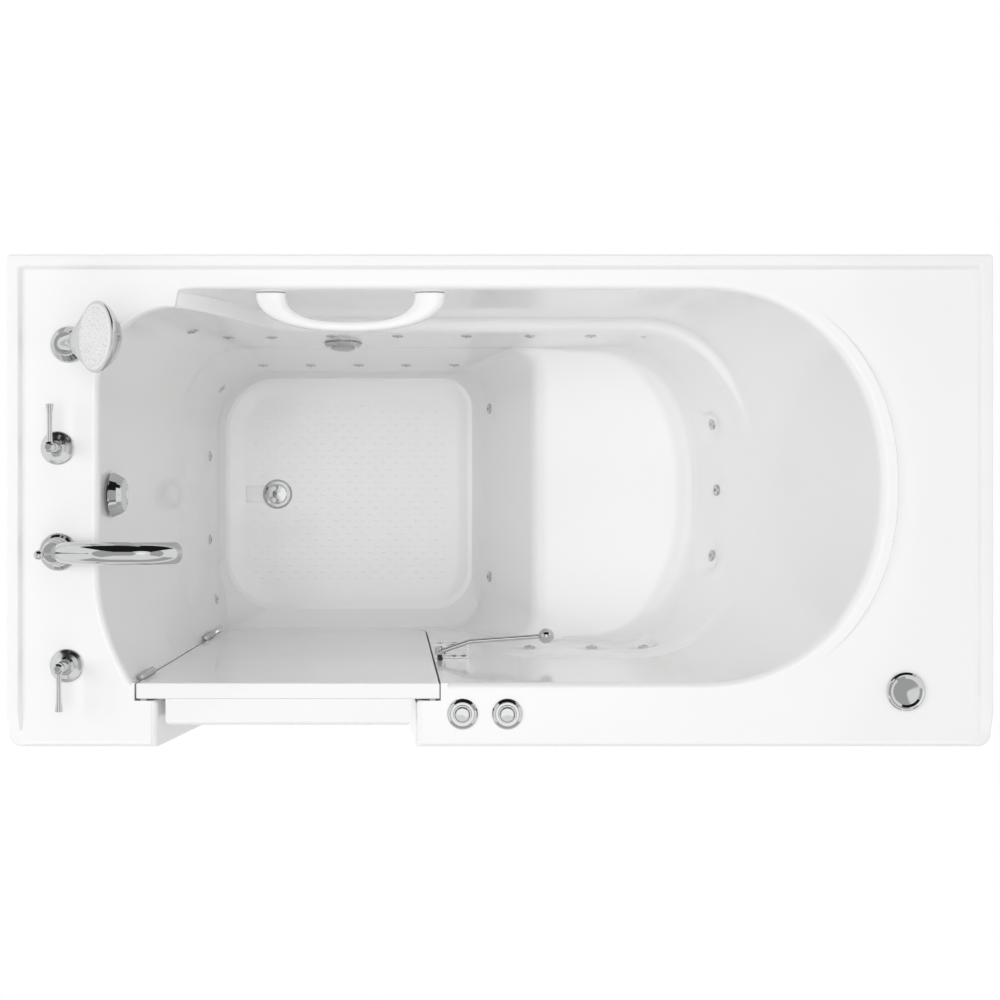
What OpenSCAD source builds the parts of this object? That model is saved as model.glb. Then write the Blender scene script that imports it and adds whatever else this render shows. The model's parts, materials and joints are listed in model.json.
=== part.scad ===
// Walk-in bathtub with an inward-opening door, 26 air jets and deck-mounted taps.
// X runs along the tub (taps at -X), Y across it (door side at -Y), Z up from the floor.

/* [Overall] */
// Length of the tub, end to end
tub_l = 1524; // [1480:1:1600]
// Width of the tub, apron to wall
tub_w = 762; // [755:1:800]
// Height of the deck above the floor
deck_h = 957; // [930:1:990]
// Thickness of the moulded shell
shell_t = 6; // [5:0.5:8]
// Height of the tile lip above the deck
lip_h = 8; // [5:1:12]
// Width of the tile lip and its slope
lip_w = 24; // [20:1:26]
// Depth of the skirt that hangs from the deck's edge
skirt_h = 45; // [30:1:60]

/* [Well] */
// Deck width at the tap end
left_deck = 140; // [130:1:150]
// Deck width at the backrest end
right_deck = 170; // [150:1:190]
// Deck width along the back
back_deck = 53; // [48:1:60]
// Deck width along the front
front_deck = 99; // [95:1:105]
// Height of the rolled band round the backrest end
band_h = 7; // [3:1:9]
// Depth of the armrest ledges below the deck
ledge_d = 330; // [300:1:350]
// Depth of the seat below the deck
seat_d = 515; // [490:1:540]
// Distance from the door's free edge to the seat's front edge, along the tub
seat_from_door = 159.7; // [150:0.1:175]
// Distance along the tub from the seat's front edge to the backrest
seat_run = 297; // [280:1:310]
// Depth of the footwell floor below the deck
floor_d = 830; // [815:1:840]
// Depth of the recess in the footwell floor
floor_recess = 8; // [4:1:10]

/* [Door] */
// Height of the door, from the deck down
door_h = 780; // [765:1:785]
// Width of the door's inner panel at the top
door_w = 470; // [460:1:475]
// How much the free edge tapers in, top to bottom
door_taper = 60; // [40:1:70]
// Thickness of the inner panel
panel_t = 24.5; // [20:0.5:28]
// Whole thickness of the door
door_t = 66; // [60:1:70]
// How far the door face leans into the tub over the door's height
door_rake = 19.4; // [15:0.1:22]
// Distance from the tub's left wall to the hinge line, at the deck
hinge_inset = 56.8; // [54:0.1:62]
// Radius of the door's bottom corners
door_r = 70; // [60:1:80]
// Gap between the door and its frame
door_gap = 3; // [2.5:0.1:4]

/* [Hinge] */
// Outer diameter of the hinge barrels
barrel_d = 12; // [11:0.5:13]
// Diameter of the hinge pin
hinge_pin_d = 6; // [5:0.5:7]
// Length of a hinge
hinge_l = 84; // [70:1:95]
// Thickness of a hinge leaf
leaf_t = 1.5; // [1:0.1:2]
// Depth of the upper hinge's middle below the deck
hinge_top_d = 80; // [70:1:110]
// Height of the lower hinge's middle above the door's bottom edge
hinge_low_up = 168; // [140:1:220]

/* [Latch] */
// Depth of the latch pivot below the deck
latch_d = 302; // [290:1:320]
// Diameter of the latch rod
rod_d = 8; // [7:0.5:10]
// Diameter of the ball knob
ball_d = 27; // [24:1:32]
// Length of the latch rod from its pivot to the ball
latch_l = 184; // [170:1:200]

/* [Grab bar] */
// Length of the grab bar along the wall
bar_l = 298; // [270:1:320]
// How far the grab bar stands out from the wall
bar_out = 61; // [50:1:70]
// Width of the bar in its middle
bar_w = 16; // [14:0.5:22]
// Width of the bar where it meets the wall
bar_root = 48; // [36:1:54]
// Height of the bar
bar_t = 24; // [18:1:30]
// Depth of the bar's middle below the deck
bar_d = 38; // [32:1:60]

/* [Fittings] */
// Diameter of an air jet's face
jet_d = 21; // [19:1:24]
// Diameter of an air jet's stem
jet_stem_d = 15.6; // [14:0.2:17]
// Diameter of the valve escutcheons
escutcheon_d = 52; // [48:1:60]
// Length of a valve lever
lever_l = 66; // [55:1:75]
// Diameter of the spout tube
spout_d = 34; // [30:1:36]
// Diameter of the spout's flange
spout_flange_d = 58; // [54:1:64]
// Diameter of the hand shower's head
shower_d = 107; // [95:1:112]
// Diameter of the drain flange
drain_d = 61; // [58:1:66]
// Diameter of the drain stopper
stopper_d = 40.6; // [38:0.2:44]
// Travel of the drain stopper
stopper_lift = 10; // [8:1:12]
// Diameter of the overflow knob at the wall
overflow_d = 71; // [66:1:76]
// Diameter of an air button's bezel
bezel_d = 47.6; // [44:0.2:52]
// Diameter of an air button
button_d = 24; // [20:1:26]
// Travel of an air button
button_travel = 3; // [2:0.5:4]
// Diameter of the canister cap
canister_d = 59.8; // [56:0.2:64]
// Diameter of the wall light
light_d = 69; // [60:1:76]

/* [Support] */
// Side of the square frame tube
tube = 30; // [25:1:35]
// Wall of the square frame tube
tube_wall = 2; // [1.5:0.5:3]
// Diameter of a foot pad
pad_d = 50; // [40:1:60]
// Thickness of the apron panel
apron_t = 4; // [3:0.5:5]

/* [Hidden] */

eps = 0.01;
fit = 0.3;            // clearance between pieces that seat or slide
white = [0.93, 0.93, 0.92];
steel = "silver";
chrome = [0.82, 0.83, 0.85];

// Places that follow from the driving sizes
left_x = -tub_l/2 + left_deck;
right_x = tub_l/2 - right_deck;
back_y = tub_w/2 - back_deck;
front_y = -tub_w/2 + front_deck;
floor_z = deck_h - floor_d;
seat_z = deck_h - seat_d;
mid_y = (back_y + front_y)/2;
rake = atan(door_rake/door_h);
lean_back = 65;       // how far the back wall leans in between deck and floor
lean_left = 42;       // the same for the left wall
back_step = 28;       // recess of the upper back wall behind the armrest ledge
step_x = left_x + 117;// where that recess starts
corner_run = 172;     // length of the curve that leads the left wall to the door's edge

// Lines of the door, from its hinge edge to its free edge, at the deck
hinge_x = left_x + hinge_inset;
leaf_gap = 0.9;
hinge_gap = leaf_gap + 2*leaf_t; // room for the two hinge leaves
door_left = hinge_x + hinge_gap/2;
rebate_left = hinge_x - hinge_gap/2;
frame_wall_l = 3;
frame_wall = 9;
frame_left = rebate_left - frame_wall_l;
door_right = hinge_x + door_w + 1.5;
seat_x = door_right + seat_from_door;

function lerp(a, b, u) = a + (b - a)*u;
function unit(v) = v/max(norm(v), 1e-9);
function clamp01(u) = max(0, min(1, u));
function smooth(u) = let (t = clamp01(u)) t*t*(3 - 2*t);

// ---------- outlines of the well, as rings with the same number of stations ----------
n_side = 4;           // left straight
n_corner = 8;         // each left corner
n_back = 8;           // footwell part of the back and front walls
n_seat = 6;           // seat part of the back and front walls
n_round = 10;         // each quarter of the backrest end
n_right = 2*n_seat + 2*n_round;
stations = n_side + 2*n_corner + 2*n_back + n_right;
seat_first = n_side + n_corner + n_back;

// A point on a quarter of a superellipse with radii rx, ry and exponent e
function oval(cx, cy, rx, ry, e, a) =
  [cx + rx*sign(cos(a))*pow(abs(cos(a)), 2/e), cy + ry*sign(sin(a))*pow(abs(sin(a)), 2/e)];

// X of the stations along the back wall: close together at the step, then evenly spaced
function back_xs(x1) = let (step = [0, 8, 36, 70, 108])
  [for (k = [0:n_back - 1]) k < 5 ? step_x + step[k] : lerp(step_x + step[4], x1, (k - 4)/(n_back - 4))];

// The curve from the door's hinge edge round to the left wall
function door_corner(x0, xf, y0, run, bulge) = [for (k = [0:n_corner - 1]) let (t = 1 - k/n_corner)
  [x0 + (xf - x0)*lerp(t*t, 1 - (1 - t)*(1 - t), bulge), y0 + run*(1 - t)]];

// Plan of the well above the seat. The left corners end where the back step and the door start.
// x0, x1 walls left and right; y0, yd front wall by the seat and by the door; y1 back wall;
// xs where the seat part starts; s the back step
function well_ring(x0, x1, y0, yd, y1, xs, s) = let (
    crx = step_x - left_x, bry = 128, rx = 279*(x1 - xs)/(right_x - xs),
    cx = x1 - rx, cy = mid_y, by0 = y1 - s - bry, bx = back_xs(xs))
  concat(
    [for (k = [0:n_side - 1]) [x0, lerp(yd + corner_run, by0, k/n_side)]],
    [for (k = [0:n_corner - 1]) oval(x0 + crx, by0, crx, bry, 2, 180 - 90*k/n_corner)],
    [for (k = [0:n_back - 1]) [bx[k] + (x0 - left_x)*(1 - k/n_back), y1 - s*(1 - smooth(k))]],
    [for (k = [0:n_seat - 1]) [lerp(xs, cx, k/n_seat), y1]],
    [for (k = [0:n_round - 1]) oval(cx, cy, rx, y1 - cy, 2.15, 90 - 90*k/n_round)],
    [for (k = [0:n_round - 1]) oval(cx, cy, rx, cy - y0, 2.15, -90*k/n_round)],
    [for (k = [0:n_seat - 1]) [lerp(cx, xs, k/n_seat), y0]],
    [for (k = [0:n_back - 1]) [lerp(xs, frame_left, k/n_back), k == 0 ? y0 : yd]],
    door_corner(x0, frame_left, yd, corner_run, 0));

// The seat stations of a footwell ring run down its right side: corner, riser, corner
function riser_side(x1, y0, y1, rb, rf, u) =
  u < 0.3 ? oval(x1 - rb, y1 - rb, rb, rb, 2, 90 - 300*u) :
  u < 0.7 ? [x1, lerp(y1 - rb, y0 + rf, (u - 0.3)/0.4)] :
  oval(x1 - rf, y0 + rf, rf, rf, 2, -300*(u - 0.7));

// Plan of the footwell: rl radius at the left, rb and rf at the riser's two ends.
// Where xf is given, the corner by the door is nearly square and ends there
function foot_ring(x0, x1, y0, y1, rl, rb, rf, xf = undef) = let (xe = is_undef(xf) ? x0 + rl : xf)
  concat(
    [for (k = [0:n_side - 1]) [x0, lerp(y0 + rl, y1 - rl, k/n_side)]],
    [for (k = [0:n_corner - 1]) oval(x0 + rl, y1 - rl, rl, rl, 2, 180 - 90*k/n_corner)],
    [for (k = [0:n_back - 1]) [lerp(x0 + rl, x1 - rb, k/n_back), y1]],
    [for (k = [0:n_right - 1]) riser_side(x1, y0, y1, rb, rf, k/n_right)],
    [for (k = [0:n_back - 1]) [lerp(x1 - rf, xe, k/n_back), y0]],
    is_undef(xf) ? [for (k = [0:n_corner - 1]) oval(x0 + rl, y0 + rl, rl, rl, 2, -90 - 90*k/n_corner)] :
      door_corner(x0, xf, y0, rl, 1));

seat_back_y = back_y - 40;
seat_front_y = front_y + 20;
seat_left_x = left_x + lean_left*seat_d/815;
backrest_x = seat_x + seat_run;
seat_corner_x = seat_x - 50;
foot_back_y = back_y - lean_back;
foot_left_x = left_x + lean_left;
function door_plane_y(d) = front_y + door_rake*d/door_h;
foot_front_y = door_plane_y(floor_d - floor_recess);
foot_door_x = foot_left_x + 20;
riser_x = seat_x - 114;

rim = well_ring(left_x, right_x, front_y, front_y, back_y, seat_corner_x, back_step);
seat = well_ring(seat_left_x, backrest_x, seat_front_y, door_plane_y(seat_d), seat_back_y, seat_corner_x, 0);
edge = let (e = foot_ring(seat_left_x, seat_x, seat_front_y, seat_back_y, 110, 50, 50))
  [for (i = [0:stations - 1]) is_seat(i) ? e[i] : seat[i]];
foot = foot_ring(foot_left_x, riser_x, foot_front_y, foot_back_y, 112, 60, 80, foot_door_x);
line = foot_ring(foot_left_x + 20, riser_x - 21, foot_front_y + 50, foot_back_y - 18, 98, 57, 76);
flat = foot_ring(foot_left_x + 53, riser_x - 48, foot_front_y + 77, foot_back_y - 48, 80, 40, 60);

function is_seat(i) = i >= seat_first && i < seat_first + n_right;
function is_back(i) = i >= n_side + n_corner && i < seat_first + n_seat;
// 1 on the seat part of the back and front walls, fading to 0 at the middle of the backrest
function beside_seat(i) = let (k = i - seat_first - n_seat)
  !is_seat(i) ? 0 : smooth(1.2 - 1.2*min(k, 2*n_round - k)/n_round*(k > 0 ? 1 : 0));

// Outward normal of a clockwise ring at station i
function ring_normal(ring, i) = let (d = ring[(i + 1) % stations] - ring[(i + stations - 1) % stations])
  unit([-d[1], d[0]]);
function at_depth(p, d) = [p[0], p[1], deck_h - d];
function push(ring, i, out) = ring[i] + ring_normal(ring, i)*out;

// Depth of the armrest ledge: it sweeps down from the deck behind the tap end
function ledge_depth(i) = is_back(i) ? max(10, ledge_d*smooth((rim[i][0] - step_x + 12)/170)) : ledge_d;
function ledge_rise(d) = max(4, 8*d/ledge_d);
function wall_at(i, d) = lerp(rim[i], seat[i], d/seat_d);
// Lower and upper edge of the ledge, as plan points
function ledge_in(i) = let (d = ledge_depth(i), w = wall_at(i, d))
  is_back(i) && i < seat_first + n_seat ? [w[0], back_y - back_step - 3*d/ledge_d] :
  w + ring_normal(rim, i)*(is_back(i - n_round) ? -5*beside_seat(i) : 0);
function ledge_out(i) = let (d = ledge_depth(i), w = wall_at(i, d - ledge_rise(d)))
  is_back(i) ? [w[0], min(rim[i][1], back_y - ledge_rise(d))] :
  w + ring_normal(rim, i)*(is_seat(i) ? (rim[i][1] > mid_y ? 17 : 5)*beside_seat(i) : 0);

// A corner of a profile, rounded over da and db along its two legs, as n + 1 points
function bend(a, p, b, da, db, n) = let (la = norm(a - p), lb = norm(b - p),
    s = p + unit(a - p)*min(da, 0.45*la), e = p + unit(b - p)*min(db, 0.45*lb))
  [for (k = [0:n]) let (t = k/n) s*(1 - t)*(1 - t) + p*2*t*(1 - t) + e*t*t];

// How flat the seat is at station i: 0 where the footwell wall simply carries on upward
function seat_flat(i) = smooth(norm(seat[i] - edge[i])/40);
function band(i) = is_seat(i) ? band_h*(1 - smooth(beside_seat(i)*1.6 - 0.4)) : 0;

// Control points of the wet side at station i, floor to deck
function controls(i) = let (f = 14*(1 - seat_flat(i)), d = ledge_depth(i)) [
  at_depth(flat[i], floor_d),
  at_depth(line[i], floor_d - floor_recess),
  at_depth(foot[i], floor_d - floor_recess),
  at_depth(edge[i], seat_d + f),
  at_depth(seat[i], seat_d - f),
  at_depth(ledge_in(i), min(d, seat_d - 60)),
  at_depth(ledge_out(i), d - ledge_rise(d)),
  at_depth(rim[i], -band(i)),
  at_depth(push(rim, i, 12), -band(i) - 0.05),
  at_depth(push(rim, i, 16), 0)];

function wet_profile(i) = let (c = controls(i)) concat(
  [c[0], c[1]],
  bend(c[1], c[2], c[3], 50, 50, 3),
  bend(c[2], c[3], c[4], 26, 26, 2),
  bend(c[3], c[4], c[5], 55, 45, 3),
  bend(c[4], c[5], c[6], 9, 9, 1),
  bend(c[5], c[6], c[7], 9, 9, 1),
  bend(c[6], c[7], c[8], 9, 4, 2),
  [c[8], c[9]]);

// The back side runs shell_t behind the wet side
function dry_profile(i) = let (t = shell_t, d = ledge_depth(i), c = controls(i)) [
  at_depth(push(rim, i, 16), t),
  at_depth(push(rim, i, t), t + 6),
  [each lerp(rim[i], ledge_out(i), 0) + ring_normal(rim, i)*t, c[6][2]] + [each (ledge_out(i) - rim[i]), 0],
  [each ledge_in(i) + ring_normal(rim, i)*t, c[5][2] - t/2],
  [each push(seat, i, t), c[4][2] + 34],
  [each push(seat, i, t) + (edge[i] - seat[i])*0.12, c[4][2] - t],
  [each push(edge, i, t), c[3][2] - t],
  [each push(foot, i, t), c[2][2] + 34],
  [each push(line, i, t), c[1][2] - t],
  [flat[i][0], flat[i][1], c[0][2] - t]];

// ---------- the deck's outer outline, one point for each station ----------
corner_r = 20;        // front corners of the deck in plan
back_corner_r = 5;    // back corners
function path3(u, a, b, c, r, k0, k1) = // straight a, arc round the corner b, straight c
  u <= k0 ? lerp(a, b + unit(a - b)*r, u/k0) :
  u < k1 ? let (o = b + unit(a - b)*r + unit(c - b)*r, w = 90*(u - k0)/(k1 - k0))
    o - unit(c - b)*r*cos(w) - unit(a - b)*r*sin(w) :
  lerp(b + unit(c - b)*r, c, (u - k1)/(1 - k1));
deck = let (x = tub_l/2, y = tub_w/2, i0 = n_side, i1 = n_side + n_corner, i2 = seat_first + n_seat,
    i3 = i2 + n_round, i4 = i3 + n_round, i5 = stations - n_corner)
  [for (i = [0:stations - 1])
    i < i0 ? [-x, rim[i][1]] :
    i < i1 ? path3((i - i0)/n_corner, [-x, rim[i0][1]], [-x, y], [rim[i1][0], y], back_corner_r, 0.375, 0.625) :
    i < i2 ? [rim[i][0], y] :
    i < i3 ? path3((i - i2)/n_round, [rim[i2][0], y], [x, y], [x, mid_y], back_corner_r, 0.5, 0.7) :
    i < i4 ? path3((i - i3)/n_round, [x, mid_y], [x, -y], [rim[i4][0], -y], corner_r, 0.3, 0.6) :
    i < i5 ? [rim[i][0], -y] :
    path3((i - i5)/n_corner, [rim[i5][0], -y], [-x, -y], [-x, rim[0][1]], corner_r, 0.375, 0.75)];
// 1 along the front edge, where the lip is missing, 0 on the other three sides
function frontness(i) = 1 - smooth((deck[i][1] + tub_w/2 - corner_r)/30);
function inset(i, side, front) = let (p = deck[i], s = 1 - side/(tub_l/2),
    fy = 1 - lerp(side, front, p[1] < 0 ? 1 : 0)/(tub_w/2)) [p[0]*s, p[1]*fy];
function edge_ring(i, side, front, z_side, z_front) =
  [each inset(i, side, front), deck_h + lerp(z_side, z_front, frontness(i))];
function deck_profile(i) = [
  edge_ring(i, lip_w, 10, 0, 0),
  edge_ring(i, lip_w - 7, 5, lip_h, -0.8),
  edge_ring(i, 2.5, 1.5, lip_h, -3.5),
  edge_ring(i, 0, 0, lip_h - 2.5, -8),
  edge_ring(i, 0, 0, -skirt_h, -skirt_h),
  edge_ring(i, shell_t, shell_t, -skirt_h, -skirt_h),
  edge_ring(i, shell_t, shell_t, -shell_t - 8, -shell_t - 8),
  edge_ring(i, lip_w, 12, -shell_t, -shell_t)];

// A closed skin through rings of equal length, with a flat cap on the first and the last
module loft(profiles) {
  m = len(profiles[0]);
  n = len(profiles);
  points = [for (j = [0:m - 1]) for (i = [0:n - 1]) profiles[i][j]];
  faces = concat(
    [[for (i = [0:n - 1]) i]],
    [for (j = [0:m - 2]) for (i = [0:n - 1]) let (a = j*n + i, b = j*n + (i + 1) % n)
      each [[a, b + n, b], [a, a + n, b + n]]],
    [[for (i = [0:n - 1]) m*n - 1 - i]]);
  polyhedron([for (p = points) p], [for (f = faces) f]);
}

// ---------- shared shapes ----------
module turned(points, fn = 48) rotate_extrude($fn = fn) polygon(points);
module rod(d, h, fn = 32) cylinder(d = d, h = h, $fn = fn);
module ring(od, id, h, fn = 40) difference() {
  cylinder(d = od, h = h, $fn = fn);
  translate([0, 0, -1]) cylinder(d = id, h = h + 2, $fn = fn);
}
// Turns +Z to point along a direction v
module aim(v) rotate([0, acos(v[2]/norm(v)), atan2(v[1], v[0])]) children();

// ---------- door: a frame of reference in its face plane, leaning with its rake ----------
body_left = hinge_x + 47;       // outer cover's left edge at the top
body_right = door_right - 44;   // and its right edge
body_taper_l = 79;
body_taper_r = 73;
body_h = door_h - 42;
body_r = 90;
body_edge_r = 8;                // rounding of the outer cover's front edge
hinge_out = 3.5;                // hinge axis in front of the door's face
module in_door() translate([0, front_y, deck_h]) rotate([rake, 0, 0]) children();
// Draws a flat outline (x, z) as a plate from y0 down to y1, outward from the door's face
module plate(y0, y1) translate([0, y0, 0]) rotate([90, 0, 0]) linear_extrude(y0 - y1) children();

// A door outline: top edge above by up, sides xl and xr leaning in by tl and tr, bottom corners r
module door_outline(xl, xr, tl, tr, h, r, up = 0) {
  corner = function (cx, cz, a0, a1)
    [for (k = [0:8]) let (a = lerp(a0, a1, k/8)) [cx + r*cos(a), cz + r*sin(a)]];
  al = atan(tl/h);
  ar = atan(tr/h);
  // centres of the corner arcs, r inside the sloping sides
  lx = xl + tl*(h - r)/h + r/cos(al);
  rx = xr - tr*(h - r)/h - r/cos(ar);
  polygon(concat([[xl - tl*up/h, up]], corner(lx, r - h, 180 + al, 270), corner(rx, r - h, 270, 360 - ar),
    [[xr + tr*up/h, up]]));
}
// Inner panel grown by gl at the hinge edge and by g elsewhere
module panel_outline(gl = 0, g = 0, up = 0)
  door_outline(door_left - gl, door_right + g, 0, door_taper, door_h + g, door_r + g, up);
// Outer cover grown by gl, gr and gb at its left, right and bottom edges
module body_outline(gl = 0, gr = 0, gb = 0, up = 0)
  door_outline(body_left - gl, body_right + gr, body_taper_l, body_taper_r, body_h + gb, body_r, up);
body_gap_l = 13;
body_gap_r = 7;
body_gap_b = 4;
// Opening through the frame, grown by g into the frame's wall
module opening_outline(g = 0, up = 0) body_outline(body_gap_l + g, body_gap_r + g, body_gap_b + g, up);
module frame_outline(g = 0, up = 0)
  door_outline(frame_left - g, door_right + door_gap + frame_wall + g, 0, door_taper,
    door_h + door_gap + frame_wall + g, door_r + door_gap, up);

frame_depth = 125;              // how far the frame's plates run outward, past the tub's front
gasket_t = 2.7;
rebate_y = -panel_t - gasket_t - fit; // the step that the gasket lies on
skirt_in = -tub_w/2 + shell_t;  // inner face of the skirt

// ---------- hinge places ----------
hinge_depths = [hinge_top_d, door_h - hinge_low_up];
fixed_knuckle = 22;
pin_fit = 0.05;                 // radial clearance of a running pin
leaf_w = 24;
module at_hinges() for (d = hinge_depths) in_door() translate([hinge_x, hinge_out, -d - hinge_l/2]) children();

// ---------- jets ----------
// Upper back row by X with its depth, lower back row by X, the others by Y
low_row_d = 374;
upper_jets = [[-484, 362], [-409, low_row_d], [-301, low_row_d], [-183, low_row_d], [-60, low_row_d],
  [53.9, low_row_d], [163, low_row_d], [261, low_row_d]];
low_jet_n = 5;
low_jet_x = -476;
low_jet_pitch = 96;
low_jet_d = 712;
seat_fit = 1.2;       // how deep a fitting's face is let into the wall
jet_tail = 34;
wall_run = floor_d - floor_recess - seat_d - 14;

// Y of the back wall under the armrest ledge, at X x and depth d
function ledge_at(x) = ledge_d*smooth((x - step_x + 12)/170);
function back_wall_y(x, d) = let (l = ledge_at(x))
  lerp(back_y - back_step - 3*l/ledge_d, seat_back_y, (d - l)/(seat_d - l));
function low_wall_y(d) = lerp(seat_back_y, foot_back_y, (d - seat_d - 14)/wall_run);
function left_wall_x(d) = lerp(left_x, seat_left_x, d/seat_d);
function left_foot_x(d) = lerp(seat_left_x, foot_left_x, (d - seat_d - 14)/wall_run);
function riser_at(d) = lerp(seat_x, riser_x, (d - seat_d)/(wall_run + 14));
function backrest_at(d) = lerp(right_x, backrest_x, d/seat_d);
function front_wall_y(d) = lerp(front_y, seat_front_y, d/seat_d);
function slope(a, b, run) = atan((a - b)/run);
up_tilt = slope(back_y - back_step - 3, seat_back_y, seat_d - 200);
low_tilt = slope(seat_back_y, foot_back_y, wall_run);
left_tilt = slope(foot_left_x, seat_left_x, wall_run);
riser_tilt = slope(seat_x, riser_x, wall_run + 14);
rest_tilt = slope(right_x, backrest_x, seat_d);
front_tilt = slope(seat_front_y, front_y, seat_d);

// Turns +Z to face along a heading, tilted up from level
module face_out(p, heading, tilt) translate(p) rotate([0, 0, heading]) rotate([0, 90 - tilt, 0]) children();
corner_jet = [-523, 240];       // X and depth of the jet in the back left corner, high up
low_corner_d = 727;
module jets_upper() {
  for (j = upper_jets) face_out([j[0], back_wall_y(j[0], j[1]), deck_h - j[1]], -90, up_tilt) children();
  face_out([corner_jet[0], back_y - 39, deck_h - corner_jet[1]], -73.6, up_tilt) children();
}
module jets_lower() for (k = [0:low_jet_n - 1])
  face_out([low_jet_x + k*low_jet_pitch, low_wall_y(low_jet_d), deck_h - low_jet_d], -90, low_tilt) children();
riser_jet_d = 752;
riser_jet_ys = [-154.4, 187];
module jets_riser() for (y = riser_jet_ys)
  face_out([riser_at(riser_jet_d), y, deck_h - riser_jet_d], 180, riser_tilt) children();
left_jet_d = 727;
left_jet_ys = [-78, 90];
module jets_left() {
  for (y = left_jet_ys) face_out([left_foot_x(left_jet_d), y, deck_h - left_jet_d], 0, left_tilt) children();
  face_out([foot_left_x + 18.2, back_y - 101.5, deck_h - low_corner_d], -37.3, left_tilt) children();
  face_out([foot_left_x + 7, front_y + 83.5, deck_h - low_corner_d], 9.3, left_tilt + 2) children();
}
rest_jet_d = 440;
rest_jet_ys = [-100.3, 19.7, 140.7];
function rest_x(y) = backrest_at(rest_jet_d) - 0.00055*(y - mid_y)*(y - mid_y);
module jets_rest() for (y = rest_jet_ys)
  face_out([rest_x(y), y, deck_h - rest_jet_d], 180 + 0.063*(y - mid_y), rest_tilt) children();
front_jet_d = 420;
front_jet_xs = [54, 167, 262];
module jets_front() for (x = front_jet_xs)
  face_out([x, front_wall_y(front_jet_d), deck_h - front_jet_d], 90, front_tilt) children();
module all_jets() {
  jets_upper() children();
  jets_lower() children();
  jets_riser() children();
  jets_left() children();
  jets_rest() children();
  jets_front() children();
}
// One jet: a domed face with its nozzle bore, and a stem through the wall
module jet() difference() {
  turned([[0, -jet_tail], [jet_stem_d/2, -jet_tail], [jet_stem_d/2, -seat_fit], [jet_d/2, -seat_fit],
    [jet_d/2, 0.8], [jet_d/2 - 2.5, 2.2], [jet_d/2 - 5, 2.6], [0, 2.6]], 32);
  translate([0, 0, -jet_tail - 1]) rod(6, jet_tail + 5, 24);
}
hole_sides = 12;                // sides of the holes that the moulded shell has for fittings
// Diameter of a polygon hole that a round of diameter d passes through
function hole_d(d) = (d + 0.6)/cos(180/hole_sides);
module jet_hole() {
  translate([0, 0, -shell_t - 12]) cylinder(d = hole_d(jet_stem_d), h = shell_t + 13, $fn = hole_sides);
  translate([0, 0, -seat_fit - 0.2]) cylinder(d = hole_d(jet_d), h = 9, $fn = hole_sides);
}

// ---------- places of the deck and wall fittings ----------
hot_at = [-tub_l/2 + 77, mid_y + 59, deck_h];
cold_at = [-tub_l/2 + 91, mid_y - 278, deck_h];
spout_at = [-tub_l/2 + 78, mid_y - 102, deck_h];
shower_at = [-tub_l/2 + 94, mid_y + 219, deck_h];
left_button_at = [-58, -tub_w/2 + 51, deck_h];
right_button_at = [11.5, -tub_w/2 + 51, deck_h];
canister_at = [tub_l/2 - 133.5, -tub_w/2 + 86, deck_h];
drain_at = [left_x + 158.3, mid_y - 9.2, floor_z];
overflow_d0 = 60;               // depth of the overflow's middle
overflow_at = [left_wall_x(overflow_d0), mid_y - 13.5, deck_h - overflow_d0];
light_x = -289;
light_depth = 455;
light_at = [light_x, back_wall_y(light_x, light_depth), deck_h - light_depth];
seat_gap = 0.2;                 // how far a flange stands off the shell, where its sealant is
shank_d = 24;
spout_shank_d = 26;
cradle_shank_d = 34;
bezel_shank_d = 31;
cup_d = 46;
drain_throat_d = 45.4;
overflow_tube_d = 43;
light_can_d = 48;

module shell_hole(p, d) translate([p[0], p[1], p[2] - 30]) cylinder(d = hole_d(d), h = 60, $fn = hole_sides);
module fitting_holes() {
  shell_hole(hot_at, shank_d);
  shell_hole(cold_at, shank_d);
  shell_hole(spout_at, spout_shank_d);
  shell_hole(shower_at, cradle_shank_d);
  shell_hole(left_button_at, bezel_shank_d);
  shell_hole(right_button_at, bezel_shank_d);
  shell_hole(canister_at, cup_d);
  shell_hole(drain_at, drain_throat_d);
  translate(drain_at) translate([0, 0, -1.5]) cylinder(d = drain_d + 0.6, h = 10, $fn = 24);
  translate(overflow_at) rotate([0, 90, 0]) translate([0, 0, -30])
    cylinder(d = hole_d(overflow_tube_d), h = 60, $fn = hole_sides);
  face_out(light_at, -90, up_tilt) translate([0, 0, -30])
    cylinder(d = hole_d(light_can_d), h = 60, $fn = hole_sides);
  at_latch_screws() translate([0, 0, -12]) cylinder(d = hole_d(screw_d), h = 14, $fn = 6);
}

// ---------- sub-parts: shell, door frame, apron ----------
module tub_shell() color(white) difference() {
  loft([for (i = [0:stations - 1]) concat(wet_profile(i), deck_profile(i), dry_profile(i))]);
  in_door() plate(12, -160) frame_outline(0.5, 60);
  at_hinges() translate([0, 0, -2]) rod(barrel_d + 1.6, hinge_l + 4, 16);
  fitting_holes();
  all_jets() jet_hole();
}

// The tub's outline in front of the well, as a long bar from X x0 to x1 with the deck's rounded front edge
module front_bar(x0, x1, g = 0) translate([x0, 0, 0]) rotate([90, 0, 90]) linear_extrude(x1 - x0)
  polygon([[-tub_w/2 + g, 0], [-tub_w/2 + g, deck_h - 8 - g], [-tub_w/2 + 1.5 + g, deck_h - 3.5 - g],
    [-tub_w/2 + 5 + g, deck_h - 0.8 - g], [-tub_w/2 + 10 + g, deck_h - g], [0, deck_h - g], [0, 0]]);

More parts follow.
